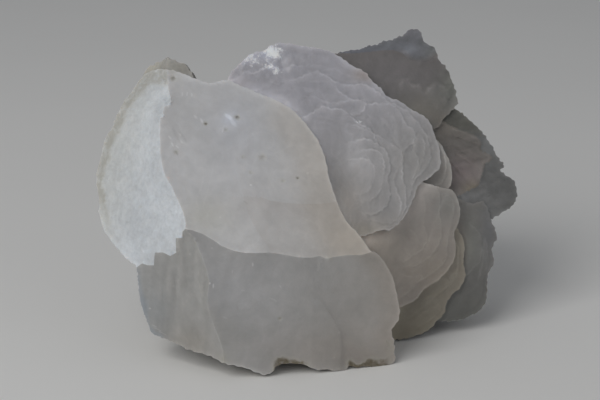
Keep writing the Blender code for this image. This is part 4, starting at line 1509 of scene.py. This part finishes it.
def stained(kinds, u, v, w):
    """Where brown and cream deposit has settled: along the left rim and in low notches."""
    stain = np.zeros(len(kinds))
    rim = curve_through(GREAT_KNOTS, 1.2)
    left = among(kinds, ["left"])
    places = np.column_stack([u[left], v[left]])
    gap, _ = nearest(places, rim, closed=True)
    wander = uneven(places, (1.0, 4.0, 401), (0.5, 1.6, 403))
    width = 2.9 + 1.1 * wander + 2.2 * ramp(v[left], 20, 36)
    band = ramp(gap, width * 1.15, width * 0.75) * ramp(v[left], -14.0, 2.0)
    stain[left] = 0.62 * band
    low = among(kinds, ["lower"]) & (v < -42.0)
    places = np.column_stack([u[low], v[low]])
    gap, _ = nearest(places, rim, closed=True)
    notch = ramp(u[low], -9.0, -7.0) * ramp(u[low], 5.0, 0.0)
    corner = ramp(u[low], 13.0, 15.0) * ramp(u[low], 28.5, 25.5)
    reach = 2.0 + uneven(places, (1.3, 2.4, 404), (0.8, 0.9, 406))
    stain[low] = np.maximum(notch, corner) * ramp(gap, 1.5 * reach, 0.5 * reach)
    ragged = np.clip(0.75 + 0.7 * swell(u, v, 1.5, 405), 0.0, 1.0) * (w > -36.0)
    for middle, size, depth in STAINS:
        stain = np.maximum(stain, depth * blot(u, v, middle, (size, size)) * ragged)
    front = among(kinds, GREAT_FACES)
    for across, up, size, depth in SPECKS:
        away = np.hypot(u - across, (v - up) / 0.85)
        stain = np.maximum(stain, 0.9 * depth * ramp(away, 1.6 * size, 0.2 * size) * front)
    return stain


def glints(kinds, u, v, w):
    """Painted glints: sparkling highlights painted on frosted patches on the top of the shell and
    in the middle of the great plate.
    """
    amount = np.zeros(len(kinds))
    for names, patches in GLINTS.items():
        chosen = among(kinds, names) & (w > -45.0)
        for middle, reach, depth in patches:
            amount = np.maximum(amount, depth * blot(u, v, middle, reach) * chosen)
    return amount


def write(mesh, name, *values):
    """Writes up to three values on every corner, as a colour."""
    layer = mesh.color_attributes.new(name, "FLOAT_COLOR", "CORNER")
    colours = np.zeros((len(mesh.loops), 4), np.float32)
    colours[:, :len(values)] = np.column_stack(values)
    colours[:, 3] = 1.0
    layer.data.foreach_set("color", colours.ravel())


def traced(crystals, triangles):
    """Zone of each triangle, and how near each of its corners is to a rim, by the crystals."""
    starts = np.cumsum([0] + [len(crystal.world) for crystal in crystals])
    points = np.concatenate([crystal.world for crystal in crystals])
    faces = np.concatenate([crystal.faces + start for crystal, start in zip(crystals, starts)])
    source = np.concatenate([crystal.kinds for crystal in crystals])
    lips = np.concatenate([crystal.lips for crystal in crystals])
    tree = BVHTree.FromPolygons(points.tolist(), faces.tolist())
    middle = triangles.mean(axis=1)
    found = np.array([tree.find_nearest(place)[2] for place in middle.tolist()])
    near = faces[found]
    gaps = np.linalg.norm(points[near][:, None] - triangles[:, :, None], axis=3)
    rim = np.take_along_axis(lips[near], np.argmin(gaps, axis=2), axis=1)
    broken = np.abs(middle[:, 2]) < BROKEN
    kinds = np.where(broken, ZONE["foot"], source[found])
    return kinds, np.where(broken[:, None], 0.0, rim)


def stone(crystals):
    """The finished stone, with its tint (partly painted light and shade), frost, stain, painted
    rim light and painted glints written on its corners.
    """
    item = fused(crystals)
    broken_off(item)
    mesh = item.data
    corners = np.empty(len(mesh.loops), int)
    mesh.loops.foreach_get("vertex_index", corners)
    places = np.empty(len(mesh.vertices) * 3)
    mesh.vertices.foreach_get("co", places)
    places = places.reshape(-1, 3)
    kinds, rim = traced(crystals, places[corners].reshape(-1, 3, 3))
    kinds = np.repeat(kinds, 3)
    rim = rim.ravel() * np.where(among(kinds, MATTE), MATTE_GAIN, 1.0)
    back = np.array(STAND.inverted())
    growth = (places @ back[:3, :3].T + back[:3, 3])[corners]
    u, v, w = growth.T
    sides = np.repeat(growth.reshape(-1, 3, 3).mean(axis=1)[:, :2], 3, axis=0)
    tint, frost = tinted(kinds, u, v, w, sides)
    edge = among(kinds, SIDES + ("hind",)) * 1.0
    write(mesh, "tint", *tint.T)
    # The rim channel is painted light on rims and lips, partly paler frosted stone.
    write(mesh, "finish_and_rim_light", frost, rim, stained(kinds, u, v, w))
    write(mesh, "glint", glints(kinds, u, v, w), edge)
    mesh.polygons.foreach_set("use_smooth", np.ones(len(mesh.polygons), bool))
    mesh.set_sharp_from_angle(angle=SHARP)
    mesh.update()
    return item


# ---------------------------------------------------------------- material

class Nodes:
    """Short hand for wiring a material's nodes."""

    def __init__(self, material):
        material.use_nodes = True
        self.tree = material.node_tree
        self.shader = self.tree.nodes["Principled BSDF"].inputs
        self.where = self.add("ShaderNodeTexCoord").outputs["Object"]

    def put(self, socket, value):
        """Wires an output to a socket, or gives the socket a plain value."""
        if isinstance(value, bpy.types.NodeSocket):
            self.tree.links.new(value, socket)
        elif socket.type == "RGBA":
            socket.default_value = (*value, 1.0)
        else:
            socket.default_value = value

    def add(self, kind, inputs=None, **settings):
        """A new node with its settings made and its inputs put."""
        node = self.tree.nodes.new(kind)
        place = len(self.tree.nodes)
        node.location = (-220 * (1 + place % 8), -180 * (place // 8))
        for name, value in settings.items():
            setattr(node, name, value)
        for name, value in (inputs or {}).items():
            self.put(node.inputs[name], value)
        return node

    def channels(self, name):
        """The three values that the mesh's corners hold under a name."""
        colour = self.add("ShaderNodeAttribute", attribute_name=name).outputs["Color"]
        return self.add("ShaderNodeSeparateColor", {0: colour}).outputs[:3]

    def noise(self, scale, detail=3.0, rough=0.55, bend=0.0, where=None):
        """Cloudy noise between 0 and 1, with features about 1 / scale metres across."""
        return self.add("ShaderNodeTexNoise", {
            "Vector": where or self.where, "Scale": scale, "Detail": detail,
            "Roughness": rough, "Distortion": bend,
        }).outputs["Fac"]

    def cells(self, scale, **settings):
        """Distance from the middles of scattered cells."""
        node = self.add(
            "ShaderNodeTexVoronoi", {"Vector": self.where, "Scale": scale}, feature="F1",
            **settings)
        return node.outputs["Distance"]

    def math(self, operation, *values):
        """The result of a sum with plain numbers."""
        return self.add("ShaderNodeMath", dict(enumerate(values)), operation=operation).outputs[0]

    def vector(self, operation, inputs, result="Vector"):
        """The result of a sum with vectors."""
        return self.add("ShaderNodeVectorMath", inputs, operation=operation).outputs[result]

    def band(self, value, low, high, start=0.0, end=1.0):
        """A smooth way from start to end as the value goes from low to high."""
        return self.add("ShaderNodeMapRange", {
            "Value": value, "From Min": low, "From Max": high, "To Min": start, "To Max": end,
        }, interpolation_type="SMOOTHSTEP").outputs["Result"]

    def gain(self, colour, amount):
        """The colour multiplied by an amount."""
        return self.vector("SCALE", {0: colour, "Scale": amount})

    def lit(self, colour, mask, extra):
        """The colour, lighter by the extra where the mask is 1."""
        return self.gain(colour, self.math("MULTIPLY_ADD", mask, extra, 1.0))

    def mix(self, share, first, second):
        """The first colour turned to the second, as far as the share goes."""
        return self.add(
            "ShaderNodeMix", {0: share, 6: first, 7: second}, data_type="RGBA").outputs[2]

    def bump(self, height, distance, strength, normal=None):
        """The normal of a surface raised by a height."""
        inputs = {"Height": height, "Distance": distance, "Strength": strength}
        if normal:
            inputs["Normal"] = normal
        return self.add("ShaderNodeBump", inputs).outputs["Normal"]


def clouded(nodes, tint):
    """The tint with clouds, curds and thin veils in it."""
    colour = nodes.gain(tint, nodes.band(nodes.noise(62.0, 4.0, 0.6, 0.6), 0.3, 0.7, 0.93, 1.06))
    curds = nodes.noise(330.0, 3.0, 0.6, 0.3)
    colour = nodes.gain(colour, nodes.band(curds, 0.3, 0.7, 0.965, 1.03))
    for scale, bend, width, depth in ((26.0, 0.8, 0.008, 0.03), (70.0, 1.2, 0.010, 0.025)):
        veil = nodes.math("SUBTRACT", nodes.noise(scale, 3.0, 0.5, bend), 0.5)
        line = nodes.band(nodes.math("ABSOLUTE", veil), 0.0, width, 1.0 + depth, 1.0)
        colour = nodes.gain(colour, line)
    return colour


def leafed(nodes, edge):
    """Thin layers that show on the plates' edges, stacked along the growth frame's w."""
    axis = (0.0, -math.cos(LEAN), math.sin(LEAN))
    depth = nodes.vector("DOT_PRODUCT", {0: nodes.where, 1: axis}, "Value")
    deep = nodes.vector("SCALE", {0: axis, "Scale": depth})
    flat = nodes.vector("SCALE", {0: nodes.where, "Scale": 0.10})
    layered = nodes.vector("ADD", {0: deep, 1: flat})
    leaves = nodes.noise(620.0, 4.0, 0.6, where=layered)
    return nodes.math("MULTIPLY", nodes.math("SUBTRACT", leaves, 0.5), edge)


def calcite():
    """Milky calcite: clouds, veils, frost, rims lightened partly by painted light, painted glints,
    brown and cream deposit.
    """
    material = bpy.data.materials.new("calcite")
    nodes = Nodes(material)
    tint = nodes.add("ShaderNodeAttribute", attribute_name="tint").outputs["Color"]
    frost, rim, stain = nodes.channels("finish_and_rim_light")
    glint, edge, _ = nodes.channels("glint")
    grain = nodes.noise(720.0, 3.0, 0.65)
    speckle = nodes.noise(1500.0, 2.0, 0.6)

    colour = clouded(nodes, tint)
    pale = nodes.math("MULTIPLY", nodes.band(grain, 0.40, 0.68), frost)
    colour = nodes.lit(colour, pale, 0.08)
    dark = nodes.math("MULTIPLY", nodes.band(grain, 0.28, 0.46, 1.0, 0.0), frost)
    colour = nodes.lit(colour, dark, -0.06)
    leaves = leafed(nodes, edge)
    colour = nodes.lit(colour, leaves, 0.45)
    fleck = nodes.band(nodes.cells(260.0), 0.06, 0.15, 1.0, 0.0)
    rare = nodes.band(nodes.noise(140.0, 2.0), 0.56, 0.66)
    colour = nodes.lit(colour, nodes.math("MULTIPLY", fleck, rare), 0.12)
    # Rims and lips are lightened: partly painted light, for light glowing through thin edges and
    # lifting the shade on risers, and partly the paler frosted stone there.
    lip = nodes.math("MULTIPLY", nodes.band(speckle, 0.25, 0.75, 0.55, 1.0), rim)
    colour = nodes.lit(colour, lip, 0.5)

    patchy = nodes.band(nodes.noise(420.0, 4.0, 0.7, 0.4), 0.30, 0.60, 0.35, 1.0)
    soil = nodes.mix(nodes.band(stain, 0.4, 1.0), (0.47, 0.455, 0.40), (0.14, 0.115, 0.07))
    colour = nodes.mix(nodes.math("MULTIPLY", stain, patchy), colour, soil)

    # Painted highlights: where the glint mask is high, specks of the colour turn bluish white for
    # light sparkling off tiny facets.
    ice = nodes.math("ADD", nodes.noise(850.0, 4.0, 0.75), nodes.math("MULTIPLY", glint, 0.45))
    spark = nodes.math("MULTIPLY", nodes.band(ice, 0.70, 0.90), nodes.band(glint, 0.0, 0.2))
    spark = nodes.math("MULTIPLY", spark, 0.8)
    colour = nodes.mix(spark, colour, (0.96, 0.98, 1.0))

    rough = nodes.band(speckle, 0.3, 0.7, 0.36, 0.46)
    for mask, extra in ((frost, 0.20), (stain, 0.15), (spark, -0.2)):
        rough = nodes.math("MULTIPLY_ADD", mask, extra, rough)

    facets = nodes.cells(950.0, distance="CHEBYCHEV")
    normal = nodes.bump(facets, 0.0002, nodes.math("MULTIPLY_ADD", frost, 0.5, 0.05))
    normal = nodes.bump(grain, 0.00014, 0.4, normal)
    normal = nodes.bump(leaves, 0.0006, 0.5, normal)

    for name, value in {
        "Base Color": colour, "Roughness": rough, "Normal": normal, "IOR": 1.56,
        "Specular IOR Level": 0.4, "Subsurface Weight": 0.8,
        "Subsurface Radius": (1.0, 0.90, 0.82), "Subsurface Scale": 0.0026,
    }.items():
        nodes.put(nodes.shader[name], value)
    material.diffuse_color = (0.58, 0.57, 0.57, 1.0)
    return material


# ---------------------------------------------------------------- studio

def plain(name, colour, rough):
    """A plain stage material with a faint unevenness."""
    material = bpy.data.materials.new(name)
    nodes = Nodes(material)
    cloud = nodes.band(nodes.noise(6.0, 2.0), 0.3, 0.7)
    tone = nodes.mix(cloud, colour, tuple(value * 0.985 for value in colour))
    nodes.put(nodes.shader["Base Color"], tone)
    nodes.put(nodes.shader["Roughness"], rough)
    return material


def lamp(name, place, size, power, colour):
    """A soft square lamp that faces the middle of the cluster."""
    light = bpy.data.lights.new(name, "AREA")
    light.size = size
    light.energy = power
    light.color = colour
    item = bpy.data.objects.new(name, light)
    item.location = place
    way = Vector(MIDDLE) - Vector(place)
    item.rotation_euler = way.to_track_quat("-Z", "Y").to_euler()
    bpy.context.scene.collection.objects.link(item)


def studio():
    """A plain pale floor, soft light from the upper left, and a camera straight on."""
    mesh = bpy.data.meshes.new("floor")
    body = bmesh.new()
    bmesh.ops.create_circle(body, cap_ends=True, segments=96, radius=6.0)
    body.to_mesh(mesh)
    body.free()
    floor = bpy.data.objects.new("floor", mesh)
    floor.data.materials.append(plain("floor", (0.83, 0.83, 0.82), 0.7))
    bpy.context.scene.collection.objects.link(floor)

    world = bpy.data.worlds.new("studio")
    world.use_nodes = True
    backdrop = world.node_tree.nodes["Background"]
    backdrop.inputs["Color"].default_value = (0.95, 0.97, 1.0, 1.0)
    backdrop.inputs["Strength"].default_value = 0.24
    bpy.context.scene.world = world

    lamp("key", (-0.58, -0.78, 0.88), 0.8, 7.4, (1.0, 0.985, 0.965))
    lamp("fill", (0.9, -1.1, 0.7), 0.9, 0.8, (0.94, 0.97, 1.0))

    view = bpy.data.cameras.new("camera")
    view.lens = 100.0
    view.sensor_width = 36.0
    view.clip_start = 0.01
    camera = bpy.data.objects.new("camera", view)
    camera.location = CAMERA
    camera.rotation_euler = (math.radians(90.0) - LEAN, 0.0, 0.0)
    bpy.context.scene.collection.objects.link(camera)
    bpy.context.scene.camera = camera
    bpy.context.scene.view_settings.view_transform = "Standard"


def main():
    """Builds the stage and the stone."""
    studio()
    cluster = stone(all_crystals())
    cluster.data.materials.clear()
    cluster.data.materials.append(calcite())
    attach(cluster, "root")
    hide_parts("calcite_cluster")


main()
